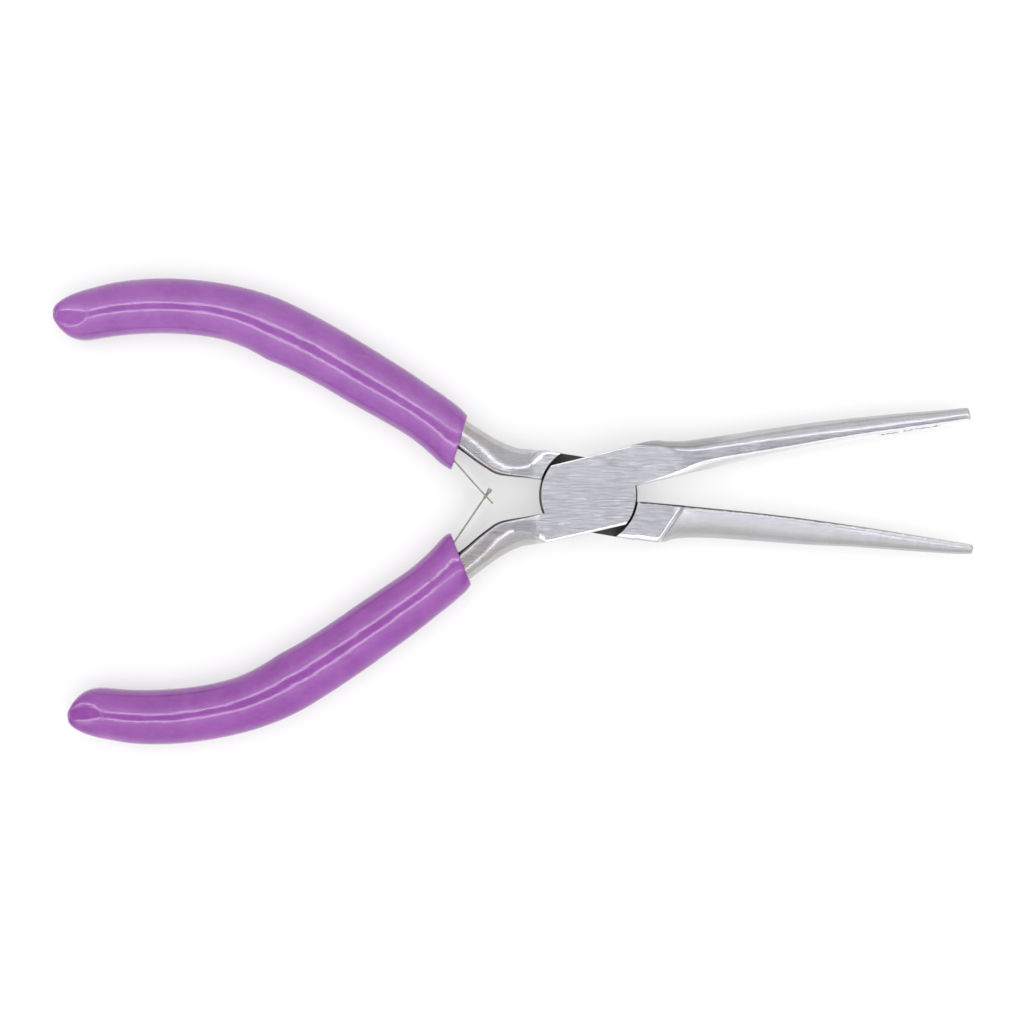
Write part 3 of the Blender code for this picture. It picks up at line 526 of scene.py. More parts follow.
class Nodes:
    """Short hands for building one node tree. Inputs are given by socket name or index."""

    def __init__(self, tree):
        self.nodes = tree.nodes
        self.links = tree.links
        self.nodes.clear()

    def put(self, kind, inputs=None, **settings):
        node = self.nodes.new(kind)
        for key, value in settings.items():
            setattr(node, key, value)
        for key, value in (inputs or {}).items():
            if isinstance(value, Field):
                self.links.new(value.socket, node.inputs[key])
            else:
                node.inputs[key].default_value = value
        return node

    def field(self, kind, inputs=None, output=0, **settings):
        return Field(self, self.put(kind, inputs, **settings).outputs[output])

    def math(self, operation, *values):
        return self.field("ShaderNodeMath", dict(enumerate(values)), operation=operation)

    def mix(self, factor, first, second, blend="MIX"):
        return self.field("ShaderNodeMix", {0: factor, 6: first, 7: second}, 2,
                          data_type="RGBA", blend_type=blend, clamp_factor=True)

    def tint(self, colour, by_colour):
        return self.mix(1.0, colour, by_colour, blend="MULTIPLY")

    def grey(self, level):
        return self.field("ShaderNodeCombineXYZ", {0: level, 1: level, 2: level})

    def bump(self, height, strength, distance, **inputs):
        return self.field("ShaderNodeBump", {"Strength": strength, "Distance": distance,
                                             "Height": height, **inputs})

    def own_point(self, side):
        """Place in the half's own frame, millimetres; it stays with the piece as it moves."""
        coords = self.field("ShaderNodeTexCoord", output="Object")
        centred = coords.vector("SUBTRACT", {1: (0, 0, HALF_T * MM)})
        return into_half(centred.vector("SCALE", {"Scale": 1000.0}), side)

    def own_normal(self, side):
        normal = self.field("ShaderNodeNewGeometry", output="Normal")
        local = self.field("ShaderNodeVectorTransform", {0: normal}, vector_type="NORMAL",
                           convert_from="WORLD", convert_to="OBJECT")
        return into_half(local, side)


def into_half(vector, side):
    if side == "front":
        return vector.turn(-REST_HALF_ANGLE)
    return vector.turn(REST_HALF_ANGLE).stretch(1, -1, -1)


def new_material(name, slot_colour):
    material = bpy.data.materials.new(name)
    material.use_nodes = True
    material.diffuse_color = (*slot_colour, 1.0)
    return material, Nodes(material.node_tree)


def finish_material(tree, colour, roughness, metallic, **inputs):
    surface = tree.field("ShaderNodeBsdfPrincipled", {
        "Base Color": colour, "Roughness": roughness, "Metallic": metallic, **inputs})
    tree.put("ShaderNodeOutputMaterial", {"Surface": surface})


# ---- materials ----------------------------------------------------------------------------------
STEEL_BASE = (0.70, 0.697, 0.755)
GROUND_COLOUR = (*[0.845 * c for c in STEEL_BASE], 1.0)  # flats read darker than polished rounds
ROUND_COLOUR = (STEEL_BASE[0] * 1.015, STEEL_BASE[1] * 1.01, STEEL_BASE[2] * 0.955, 1.0)
GRIND_BUMP = {"strength": 0.35, "distance": 0.000012}
GROUND_STREAKS = 0.74        # how strongly grinding lines show in the tone
GROUND_ROUGHNESS = 0.26
PATCH_TONE = 0.20            # how far handling marks swing the tone
PATCH_ROUGHNESS = 0.05
TRIM_SLOPE = 0.0026          # fall of the jaw's inner edge, y per x, as the edge scale and its painted shade follow it
GRIP_PIT = (-27.54, -8.62, 0.0)  # a pit in the front half's grip, in its own frame


def grinding_lines(point, angle):
    return point.turn(angle).stretch(0.36, 4.6, 1.0).noise(detail=3.0, rough=0.6)


def handling_patches(point):
    return point.noise(scale=0.42, detail=4.0, rough=0.62, warp=0.4)


def edge_scale_and_shade(tree, side, point):
    """Scale left along the inner edge of the jaw, 0 to 1, partly painted shade: on the rear jaw its
    dark line also stands for that edge seen edge-on in shade.
    """
    x, y, z = point.split()
    bow = tree.math("SINE", (x - BOW_START) * (math.pi / BOW_LENGTH)) * JAW_BOW[side]
    edge = y - ((JAW_EDGE - x * TRIM_SLOPE) + bow)
    ragged = edge + point.noise(scale=1.4, detail=3.0).swing(0.35)
    if side == "rear":
        scale = ragged.step(start=0.18, end=0.42, before=1.0, after=0.0) * x.step(start=8.0, end=8.6)
        scale = scale * x.step(start=30.0, end=60.0, before=1.0, after=0.55)
        outward = z * -1.0
    else:
        # only in broken patches near the tip
        near_tip = x.step(start=46.0, end=49.0) * x.step(start=57.5, end=59.5, before=1.0, after=0.0)
        scale = ragged.step(start=0.1, end=0.34, before=1.0, after=0.0) * near_tip
        scale = scale * point.stretch(1.3, 3.0, 1.0).noise().step(start=0.42, end=0.50)
        outward = z * 1.0
    return scale * outward.step(start=0.0, end=0.9, before=0.12, after=1.0)


def steel(name, side):
    """Forged steel: flats ground along one line, rounds drawn along the tool, painted shade and
    painted highlight by which way each side faces.
    """
    material, tree = new_material(name, STEEL_BASE)
    point = tree.own_point(side)
    x = point.split()[0]
    _, normal_y, normal_z = tree.own_normal(side).split()
    front = side == "front"
    flat = abs(normal_z).step(start=0.9, end=0.995)

    # fine grinding lines on the flats, drawing lines on the rounds
    lines = grinding_lines(point, BRUSH_ANGLE if front else BRUSH_ANGLE - 4.0)
    wide = point.stretch(0.05, 1.3, 1.3).noise(detail=3.0)
    drawn = point.turn(3.5).stretch(0.07, 7.0, 7.0).noise(detail=3.0, rough=0.6)
    patch = handling_patches(point)
    grain = point.noise(scale=4.2, rough=0.6)
    # drawing lines at 0.7 of the grinding lines' strength
    streak = (lines - 0.5) * flat + (drawn - 0.5) * (1.0 - flat) * 0.7

    # each pattern swings the tone about 1
    tone = 1.0 + streak * flat.step(start=0.0, end=1.0, before=0.52, after=GROUND_STREAKS)
    tone = tone + patch.swing(PATCH_TONE)
    tone = tone + wide.swing(0.08)
    tone = tone + grain.swing(0.17)

    # painted shade: faces turned towards the half's +y (jaw outsides, handle insides) are darkened
    # as if turned from the light, more so at the front jaw's root
    tone = tone * normal_y.step(start=0.25, end=0.65, before=1.0, after=0.72)
    if front:
        root = normal_y * x.step(start=30.0, end=17.0)
        tone = tone * root.step(start=0.25, end=0.65, before=1.0, after=0.70)
    # painted shade: the handles' inner edges, facing each other across the gap, are darkened hard
    handle_inside_shade = normal_y * x.step(start=-9.0, end=-12.0)
    tone = tone * handle_inside_shade.step(start=0.7, end=0.95, before=1.0, after=0.3)
    # darker over the whole handle, and on the jaws' flats
    tone = tone * x.step(start=-8.6, end=-10.4, before=1.0, after=0.70)
    tone = tone * (1.0 - flat * x.step(start=12.0, end=19.0, before=0.0, after=0.3))
    # painted highlight: the jaws' insides, facing the half's -y, are brightened as if catching more
    # light
    jaw_inside_highlight = normal_y * x.step(start=8.0, end=13.0)
    if front:
        tone = tone * jaw_inside_highlight.step(start=-0.1, end=-0.34, before=1.0, after=1.42)
        # painted highlight, stronger again on the front jaw's inner edge wall
        jaw_edge_highlight = normal_y * x.step(start=8.0, end=9.0)
        tone = tone * jaw_edge_highlight.step(start=-0.7, end=-0.95, before=1.0, after=1.6)
    else:
        tone = tone * jaw_inside_highlight.step(start=-0.3, end=-0.6, before=1.0, after=1.32)
    # scale takes most of the light, and along the rear jaw's inner edge its dark line is also
    # painted shade; small pits are sparse
    scale = edge_scale_and_shade(tree, side, point)
    tone = tone * (1.0 - scale * 0.84)
    tone = tone * point.spots(scale=0.55).step(start=0.035, end=0.075, before=0.72, after=1.0)
    colour = tree.tint(tree.mix(flat, ROUND_COLOUR, GROUND_COLOUR), tree.grey(tone))

    # warm tempering tint by the grip, three quarters strong
    warm = x.step(start=-13.0, end=-17.5) * point.noise(scale=0.5).step(start=0.4, end=0.62)
    colour = tree.mix(warm * 0.75, colour, tree.tint(colour, (1.0, 0.90, 0.80, 1.0)))

    # streaks and scale scatter too
    roughness = flat.step(start=0.0, end=1.0, before=0.16, after=GROUND_ROUGHNESS)
    roughness = roughness + patch.swing(PATCH_ROUGHNESS)
    roughness = roughness + streak * 0.05
    roughness = roughness + scale * 0.35
    if front:
        # the inside edge is only fettled, so it scatters
        fettled = normal_y.step(start=-0.45, end=-0.8)
        roughness = roughness + fettled * x.step(start=8.0, end=8.6, before=0.0, after=0.4)
    else:
        past_step = x.step(start=13.7, end=14.6)
        roughness = roughness + past_step * x.step(start=34.0, end=50.0, before=0.14, after=0.03)

    bevel = tree.field("ShaderNodeBevel", {"Radius": 0.00007}, samples=4)
    # the grain stands a quarter as high as the streaks
    bump = tree.bump(streak + grain * 0.25, **GRIND_BUMP, Normal=bevel)
    finish_material(tree, colour, roughness, metallic=1.0, Normal=bump)
    return material


def lap_steel(name, side):
    """The lap faces, recess walls and cut boss ends: dark, oiled, never polished, and dark enough to
    paint the shade deep in the recess and along the boss rims.
    """
    material, tree = new_material(name, (0.05, 0.048, 0.047))
    cloud = tree.own_point(side).stretch(1.0, 1.0, 1.0).noise(scale=1.6, detail=3.0, rough=0.6)
    colour = tree.mix(cloud, (0.030, 0.028, 0.028, 1.0), (0.075, 0.072, 0.070, 1.0))
    roughness = cloud.step(start=0.3, end=0.7, before=0.45, after=0.6)
    finish_material(tree, colour, roughness, metallic=0.6)
    return material


def pvc(name, side, base, deep):
    """Dipped PVC: glossy, a little translucent, with slow ripples, duller bands, a painted pale
    sheen at its edges, specks and pits.
    """
    material, tree = new_material(name, base)
    point = tree.own_point(side)
    x = point.split()[0]
    normal_y = tree.own_normal(side).split()[1]
    cloud = point.noise(scale=0.16, detail=3.0, warp=0.3)
    fine = point.noise(scale=1.1, detail=3.0, rough=0.55)
    colour = tree.mix(cloud.step(start=0.3, end=0.7), (*deep, 1.0), (*base, 1.0))
    paler = (base[0] * 1.16, base[1] * 1.25, base[2] * 1.12, 1.0)
    colour = tree.mix(fine.step(start=0.45, end=0.75) * 0.30, colour, paler)
    # painted sheen: a paler greyish lilac where the surface turns away, for light through and off
    # the thin skin at its edges
    facing = tree.field("ShaderNodeLayerWeight", {"Blend": 0.5}, "Facing")
    painted_sheen = facing.step(start=0.62, end=0.97, before=0.0, after=0.8)
    colour = tree.mix(painted_sheen, colour, (0.385, 0.235, 0.415, 1.0))
    # dark specks, and one pit
    dirt = point.spots(scale=0.33).step(start=0.018, end=0.04, before=1.0, after=0.0)
    if side == "front":
        away = point.stretch(1, 1, 0).vector("DISTANCE", {1: GRIP_PIT}, "Value")
        pit = away.step(start=0.24, end=0.42, before=1.0, after=0.0)
        dirt = tree.math("MAXIMUM", dirt, pit)
    colour = tree.mix(dirt * 0.75, colour, (0.055, 0.02, 0.06, 1.0))

    # slow ripples with a little of the fine pattern on them
    ripple = point.stretch(0.30, 0.8, 0.8).noise()
    bump = tree.bump(ripple + fine * 0.12, strength=0.5, distance=0.00006)

    # duller where a drip has run together at the butt, and on the outer half by the mouth
    drip = x.step(start=-84.1, end=-83.5) * x.step(start=-83.3, end=-82.7, before=1.0, after=0.0)
    mouth = x.step(start=-28.4, end=-25.0) * normal_y.step(start=0.0, end=-0.06)
    dull = tree.math("MAXIMUM", drip, mouth)
    dull = dull * abs(normal_y).step(start=0.13, end=0.26, before=1.0, after=0.0)
    roughness = fine.step(start=0.3, end=0.7, before=0.10, after=0.15) + dull * 0.20
    finish_material(tree, colour, roughness, metallic=0.0, Normal=bump, IOR=1.53, **{
        "Subsurface Weight": 0.18, "Subsurface Scale": 0.0008,
        "Subsurface Radius": (1.0, 0.55, 1.0), "Coat Weight": 0.45, "Coat Roughness": 0.04})
    return material


def leaf_steel(name, side):
    """Tempered strip in patchy warm greys, streaked along its length."""
    material, tree = new_material(name, (0.34, 0.31, 0.28))
    point = tree.own_point(side)
    streak = point.stretch(0.3, 0.3, 9.0).noise(detail=3.0, rough=0.6)
    patch = point.noise(scale=0.9, detail=3.0, rough=0.6)
    colour = tree.mix(patch, (0.20, 0.17, 0.15, 1.0), (0.36, 0.325, 0.30, 1.0))
    bump = tree.bump(streak, strength=0.2, distance=0.00001)
    roughness = streak.step(start=0.2, end=0.8, before=0.30, after=0.45)
    finish_material(tree, colour, roughness, metallic=0.95, Normal=bump)
    return material


def rivet_steel(name):
    """The flush rivet, ground with the joint faces, and the small hidden fasteners."""
    material, tree = new_material(name, (0.58, 0.58, 0.61))
    point = tree.own_point("front")
    lines = grinding_lines(point, BRUSH_ANGLE)
    patch = handling_patches(point)
    # a touch darker than the steel around it
    tone = lines.swing(GROUND_STREAKS) + (0.99 + patch.swing(PATCH_TONE))
    colour = tree.tint(GROUND_COLOUR, tree.grey(tone))
    bump = tree.bump(lines, **GRIND_BUMP)
    roughness = GROUND_ROUGHNESS + patch.swing(PATCH_ROUGHNESS)
    finish_material(tree, colour, roughness, metallic=1.0, Normal=bump)
    return material


STEEL = {side: steel("steel_" + side, side) for side in ("front", "rear")}
LAP = {side: lap_steel("lap_steel_" + side, side) for side in ("front", "rear")}
PVC = {
    "upper": pvc("violet_pvc_upper_grip", "rear",
                 base=(0.248, 0.074, 0.312), deep=(0.212, 0.055, 0.272)),
    "lower": pvc("violet_pvc_lower_grip", "front",
                 base=(0.236, 0.058, 0.290), deep=(0.200, 0.040, 0.255)),
}
LEAF_STEEL = {which: leaf_steel("spring_steel_" + which + "_leaf", side)
              for which, side in SIDE_OF.items()}
RIVET = rivet_steel("rivet_steel_ground")

# ---- the forged halves --------------------------------------------------------------------------
TIP_RUN = 0.7                # last stretch of the jaw, before the rounded tip
TIP_ROUNDING = ((0.0, 0.80), (0.05, 0.89), (0.14, 0.96), (0.3, 0.995))  # (back from tip, size)
TANG_ROUNDING = ((0.5, 0.93), (0.9, 0.78), (1.15, 0.55))  # (past the last pair, size)


def jaw_form(tip):
    """Tables of a jaw's section, each [(x, value), ...].

    "high" is the outer edge and "low" the inner; the flat joint face runs on at the top, the
    stepped shoulder stands at the bottom. A reach is how far a corner runs in from its edge, a
    side is the height of the wall below it.
    """
    ends = [(58.0, 1.15), (tip - TIP_RUN, 0.95), (tip, 0.8)]
    return {
        # the sections lean over the diagonal step behind the jaw's root, then straighten
        "slant": [(8.2, 0.0), (13.7, 3.2), (16.5, 2.6), (26.0, 0.0)],
        "top": [(8.2, HALF_T), (13.0, HALF_T), (16.0, 3.95), (19.0, 3.72), (23.0, 3.2),
                (30.0, 2.45), (45.0, 1.72)] + ends,
        "bottom": [(8.2, HALF_T), (13.2, HALF_T), (13.58, 3.9), (13.7, 3.78), (13.95, 3.42),
                   (14.35, 3.18), (15.2, 3.06), (17.0, 3.0), (22.0, 2.8), (30.0, 2.36),
                   (45.0, 1.7)] + ends,
        # 0 before the stepped shoulder, 1 after it
        "after": [(13.6, 0.0), (14.3, 1.0)],
        "high_top_reach": [(8.2, 0.15), (9.6, 0.24), (11.0, 0.5), (12.2, 0.82), (13.5, 1.2),
                           (15.0, 1.6), (16.9, 1.95), (19.0, 1.95), (21.5, 1.85), (29.5, 1.92),
                           (35.0, 2.08), (43.0, 2.1), (51.5, 1.86), (60.0, 1.38), (tip, 1.2)],
        "high_top_side": [(8.2, 3.92), (9.6, 3.78), (11.0, 3.42), (12.2, 2.95), (14.0, 2.1),
                          (17.0, 0.9), (22.0, 0.12), (62.5, 0.05)],
        "high_top_crease": [(8.2, 80.0), (11.2, 62.0), (14.3, 62.0), (16.6, 87.0), (20.0, 88.0)],
        "high_top_power": [(8.2, 1.0), (17.0, 1.0), (24.0, 1.0), (45.0, 1.02), (60.0, 1.0)],
        "low_top_reach": [(8.2, 0.15), (10.0, 0.3), (13.0, 0.9), (16.0, 1.4), (18.6, 1.62),
                          (21.5, 1.5), (28.0, 1.15), (35.0, 0.95), (43.0, 0.88), (51.5, 0.72),
                          (60.0, 0.55)],
        "low_top_side": [(8.2, 3.8), (12.0, 3.6), (15.0, 3.0), (18.0, 1.8), (24.0, 0.12),
                         (62.5, 0.05)],
        # share of the width, past the shoulder
        "low_bottom_share": [(13.7, 0.12), (29.0, 0.12), (39.0, 0.14), (46.0, 0.2), (52.0, 0.27),
                             (57.0, 0.3), (tip, 0.4)],
        "shoulder_reach": [(8.2, 0.8), (13.7, 0.95)],
        "bottom_side": [(14.0, 0.4), (22.0, 0.12), (62.5, 0.05)],
        "crisp": [(13.0, 0.03), (17.0, 0.28)],
        # keeps the top flat level across the leaning sections as it falls towards the tip
        "fall": [(13.5, 0.0), (15.5, 0.02), (17.0, 0.036), (19.0, 0.043), (21.0, 0.034),
                 (23.0, 0.018), (26.0, 0.0)],
    }


JAW_FORM = {side: jaw_form(tip) for side, tip in JAW_TIP.items()}


def jaw_section(side, x):
    form = smooth_all(JAW_FORM[side], x)
    lean, top, after = form["slant"], form["top"], form["after"]
    low = (x + lean / 2, jaw_inner(side, x + lean / 2))
    high = (x - lean / 2, smooth(JAW_OUTER[side], x - lean / 2))
    width = distance(low, high)
    crest = min(form["high_top_reach"], 0.66 * width)
    # the top flat runs out along the jaw as a facet between crest and rounded inner edge
    low_top = min(form["low_top_reach"], 0.97 * width - crest)
    low_bottom = mix(0.15, form["low_bottom_share"] * width, after)
    high_bottom = mix(form["shoulder_reach"], width - low_bottom - 0.03, after)
    bottom_side = mix(3.76, form["bottom_side"], after)
    corners = {
        "high_top": (crest, form["high_top_side"], form["high_top_crease"],
                     form["high_top_power"]),
        "low_top": (low_top, form["low_top_side"], 88.0, 1.0),
        "high_bottom": (high_bottom, bottom_side, mix(60.0, 88.0, after), mix(1.0, 1.3, after)),
        "low_bottom": (low_bottom, mix(3.9, bottom_side, after), 86.0, 1.0),
    }
    points = section(width, top, form["bottom"], corners, 16, 3, form["crisp"])
    fall = form["fall"]
    points = [(u, z * (1 - fall * max(0.0, width - crest - u) / top) if z > 0 else z)
              for u, z in points]
    return low, high, points


BOSS_UPPER = {"front": 6.02, "rear": 5.9}  # y of the boss's jaw-side edge at the pivot
BOSS_STATIONS = (8.0, 6.0, 4.0, 2.0, 0.0, -2.0, -4.0, -5.2, -6.0, -6.4, -6.8, -7.2, -7.6, -8.0)
# how far the handle-side corners run in, towards the shank
BOSS_TAIL = {"front": [(-8.0, 0.32), (-7.0, 0.15)],
             "rear": [(-8.0, 0.75), (-7.1, 0.42), (-6.0, 0.15)]}


def boss_section(side, x):
    low = (x, -6.0 + 0.03 * x)
    high = (x, BOSS_UPPER[side] + 0.045 * x)
    tail = smooth(BOSS_TAIL[side], x)
    low_side = HALF_T - max(0.11, 0.11 + (tail - 0.42) * 0.5)
    low_corner = (max(tail, 0.42), low_side, 60.0, 1.0)
    high_bottom = (smooth([(3.0, 0.42), (8.2, 0.8)], x), smooth([(3.0, 3.89), (8.2, 3.76)], x),
                   60.0, 1.0)
    corners = {"high_top": (0.18, 3.94, 70.0, 1.0), "low_top": low_corner,
               "high_bottom": high_bottom, "low_bottom": low_corner}
    return low, high, section(distance(low, high), HALF_T, HALF_T, corners, 16, 3, 0.03)


# How far the ground crest stands in from the shank's outer edge, (x, reach)
CREST = {
    "rear": [(-30.0, 1.8), (-24.0, 2.1), (-20.4, 2.25), (-18.25, 2.58), (-16.5, 2.9),
             (-15.0, 3.35), (-13.7, 3.35), (-12.0, 3.15), (-10.9, 2.95), (-10.1, 2.6),
             (-9.3, 1.8), (-8.2, 0.8)],
    "front": [(-30.0, 1.7), (-24.0, 1.75), (-20.4, 1.8), (-18.25, 2.05), (-16.4, 2.35),
              (-15.0, 2.65), (-13.7, 2.75), (-12.0, 2.6), (-11.0, 2.25), (-10.1, 1.65),
              (-9.2, 1.0), (-8.2, 0.46)],
}
# The shank's section, (x, value); "low" is the outer edge here and "high" the inner
SHANK_FORM = {
    "depth": [(-30.0, TANG_HALF_DEPTH), (-24.0, 2.68), (-20.0, 2.8), (-17.0, 3.0), (-14.5, 3.45),
              (-12.5, 3.9), (-11.0, HALF_T), (-8.2, HALF_T)],
    "high_reach": [(-30.0, 1.2), (-21.0, 0.75), (-17.0, 0.6), (-14.0, 0.5), (-12.0, 0.35),
                   (-8.2, 0.2)],
    "high_side": [(-30.0, 1.2), (-21.0, 1.8), (-17.0, 2.2), (-14.0, 2.9), (-12.0, 3.45),
                  (-8.2, 3.8)],
    "crease": [(-20.0, 88.0), (-17.0, 84.0), (-13.5, 76.0), (-9.0, 62.0), (-8.2, 60.0)],
    "lean": [(-30.0, 0.10), (-14.0, 0.10), (-10.5, 0.0)],
}
LOW_SIDE = [(-30.0, 0.9), (-21.0, 0.45), (-15.0, 0.6), (-12.0, 1.1), (-10.0, 2.3), (-9.0, 3.3)]
LOW_SIDE_END = {"front": (-8.2, 3.88), "rear": (-8.2, 3.72)}
LEAN_SHARE = {"front": 1.0, "rear": -0.25}


def shank_section(side, low, high, grow):
    x = (low[0] + high[0]) / 2
    width = distance(low, high)
    form = smooth_all(SHANK_FORM, x)
    depth = form["depth"] + grow
    crest = min(0.56 * width if x < -17 else 0.72 * width, smooth(CREST[side], x))
    high_reach = min(form["high_reach"], 0.97 * width - crest)
    low_side = smooth(LOW_SIDE + [LOW_SIDE_END[side]], x)
    high_side = form["high_side"]
    low_corner = (crest, low_side, form["crease"], 1.12)
    high_corner = (high_reach, high_side, 86.0, 1.0)
    corners = {"low_top": low_corner, "low_bottom": low_corner,
               "high_top": high_corner, "high_bottom": high_corner}
    # the face between crest and inner edge leans
    lean = form["lean"] * LEAN_SHARE[side]
    points = []
    for u, z in section(width, depth, depth, corners, 16, 3):
        if abs(z) > high_side:
            z -= math.copysign(lean * max(0.0, (u - crest) / (width - crest)), z)
        points.append((u, z))
    return low, high, points


def shank_stations(side, pairs, dense_until, grow=0.0):
    """Sections along edge pairs, close together up to the pair dense_until."""
    lows = [pair[0] for pair in pairs]
    highs = [pair[1] for pair in pairs]
    stations = []
    place_on = 0.0
    while place_on < len(pairs) - 1 + 1e-9:
        stations.append(shank_section(side, along(lows, place_on), along(highs, place_on), grow))
        place_on += 0.1 if place_on < dense_until else 0.5
    return stations


def shifted(station, dx, dy, points):
    low, high, _ = station
    return (low[0] + dx, low[1] + dy), (high[0] + dx, high[1] + dy), points


def half_shape(side):
    tip = JAW_TIP[side]
    low, high, _ = jaw_section(side, tip)
    tip_width = distance(low, high)
    stations = []
    for back, size in TIP_ROUNDING:
        low, high, points = jaw_section(side, tip - back)
        stations.append((low, high, shrink(points, tip_width, size)))
    # (from, to, spacing), closest over the stepped shoulder
    for start, end, gap in ((tip - TIP_RUN, 24.0, 0.7), (24.0, 17.0, 0.35), (17.0, 14.6, 0.2),
                            (14.6, 13.1, 0.06), (13.1, 10.8, 0.16), (10.8, JAW_ROOT, 0.4)):
        count = max(1, round((start - end) / gap))
        stations += [jaw_section(side, start + (end - start) * i / count) for i in range(count)]
    stations.append(jaw_section(side, JAW_ROOT))
    stations += [boss_section(side, x) for x in BOSS_STATIONS]
    stations += shank_stations(side, tang_pairs(side), 8.5)
    last = stations[-1]
    span = distance(last[0], last[1])
    for back, size in TANG_ROUNDING:
        stations.append(shifted(last, -back * 0.95, back * 0.3, shrink(last[2], span, size)))
    return skin(stations)


def rivet_profile(grow, overrun=()):
    """The rivet's (r, z) outline, grown; overrun adds upper points above the head's rim."""
    head = RIVET_HEAD_RADIUS + grow
    knee = (RIVET_RADIUS + grow, HALF_T - RIVET_HEAD_DEPTH)
    upper = [*overrun, (head, HALF_T), knee] if overrun else [(0.0, HALF_T), (head, HALF_T), knee]
    return upper + [(r, -z) for r, z in reversed(upper)]


def build_half(side):
    name = side + "_half_forging"
    half = place(name, half_shape(side), STEEL[side])
    end = HALF_T + 1.0
    rivet_hole = rivet_profile(RIVET_CLEARANCE,
                               [(0.0, end), (RIVET_HEAD_RADIUS + RIVET_CLEARANCE, end)])
    jaw_block = ((0.0, -12.0, -9.5), (8.35, jaw_inner(side, JAW_ROOT) + 0.04, 9.5))
    handle_block = ((-8.35, -1.56, -9.5), (0.0, 12.0, 9.5))
    # the recess and the cut boss ends take the dark lap steel: painted shade in the recess and along
    # the rims
    cut(half, [
        (cylinder(RECESS_RADIUS, -9.0, LAP_GAP, 200), LAP[side]),
        (block_minus_disc(*jaw_block, LAP[side]), None),
        (block_minus_disc(*handle_block, LAP[side]), None),
        (turned(rivet_hole, 96), STEEL[side]),
        (cylinder(FOOT_HOLE_RADIUS, -2.9, 2.0, 24, foot_frame(side)), STEEL[side]),
    ])
    carry(half, side, sharp=20.0)
    weight_normals(half)
    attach(half, side)
    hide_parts(side + "_half")


def build_rivet():
    """Ground flush with the faces, so its edge closes on the countersink."""
    profile = rivet_profile(RIVET_CLEARANCE - RIVET_SEAM)
    rivet = place("pivot_rivet_ground", turned(profile, 96), RIVET)
    carry(rivet, "front", sharp=30.0)
    weight_normals(rivet)
    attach(rivet, "front")
    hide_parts("pivot_rivet")


# ---- the leaf springs: each one strip from its foot in the grip to its hook ---------------------
def strip(points, half_width, thickness):
    """A strip standing on edge along a path."""
    shape = bmesh.new()
    # round the strip's section: (side of the path, share of the half width)
    outline = ((1, 1), (-1, 1), (-1, 0.34), (-1, -0.34), (-1, -1), (1, -1), (1, -0.34), (1, 0.34))
    rings = []
    for i, point in enumerate(points):
        before = points[max(0, i - 1)]
        after = points[min(len(points) - 1, i + 1)]
        ahead = (after - before).normalized()
        offset = Vector((-ahead.y, ahead.x)) * thickness / 2
        rings.append([shape.verts.new(((point.x + k * offset.x) * MM, (point.y + k * offset.y) * MM,
                                       z * half_width * MM)) for k, z in outline])
    return close_shape(shape, rings)


def blade_matrix(which):
    root, angle = LEAF[which]["root"], math.radians(LEAF[which]["angle"])
    return (Matrix.Translation((root[0] * MM, root[1] * MM, 0))
            @ Matrix.Rotation(angle, 4, "Z"))


def blade_box(which, start, end, z_low, z_high):
    """A cutter across the blade: from start to end along it, z_low to z_high across it."""
    return box((start, -1.5, z_low), (end, 1.5, z_high), blade_matrix(which))


def blade_cutters(which):
    leaf = LEAF[which]
    if which == "upper":
        half_window = leaf["window_width"] / 2
        return [blade_box(which, *leaf["window"], -half_window, half_window)]
    beyond = LEAF_WIDTH / 2 + 1
    cutters = []
    for sign in (1, -1):
        for start, end, width in ((leaf["tongue"], leaf["head"], leaf["tongue_width"]),
                                  (leaf["head"] - 0.01, leaf["length"] + 1, leaf["head_width"])):
            z_low, z_high = sorted((sign * width / 2, sign * beyond))
            cutters.append(blade_box(which, start, end, z_low, z_high))
    return cutters


def turn_over_head(obj):
    """The lower leaf's T-head is turned over, so its edge stands proud of the strip."""
    matrix = blade_matrix("lower")
    inverse = matrix.inverted()
    for vertex in obj.data.vertices:
        local = inverse @ vertex.co
        if local.x > THICK_START * MM:
            on_head = local.x > (LEAF["lower"]["head"] - 0.02) * MM
            local.y *= HEAD_SWELL if on_head else NECK_SWELL
            vertex.co = matrix @ local


def leaf_centre_line(which, side):
    points = leaf_path(which, side)
    dense = [points[0]]
    for start, end in zip(points, points[1:]):
        count = max(1, round((end - start).length / 0.6))
        dense += [start + (end - start) * i / count for i in range(1, count + 1)]
    root, direction, across = blade_axes(which)
    length, bow = LEAF[which]["length"], LEAF[which]["bow"]
    count = 40
    for i in range(count + 1):
        run = length * i / count
        dense.append(root + direction * run
                     + across * bow * math.sin(math.pi * min(1.0, run / length)) ** 2)
    return dense


def build_leaf(which, side):
    material = LEAF_STEEL[which]
    shape = strip(leaf_centre_line(which, side), LEAF_WIDTH / 2, LEAF_EDGE)
    leaf = place(which + "_leaf_spring", shape, material)
    tools = [cylinder(FOOT_HOLE_RADIUS, -1.0, 2.0, 24, foot_frame(side))] + blade_cutters(which)
    cut(leaf, [(tool, material) for tool in tools])
    if which == "lower":
        turn_over_head(leaf)
    carry(leaf, side, sharp=25.0)
    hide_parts(which + "_spring_foot", which + "_spring_blade")
    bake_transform(leaf)


# ---- the dipped grips ---------------------------------------------------------------------------
BODY = len(GRIP) - 1         # last grip pair used before the butt's own pairs
BUTT_START = BODY + 1.0
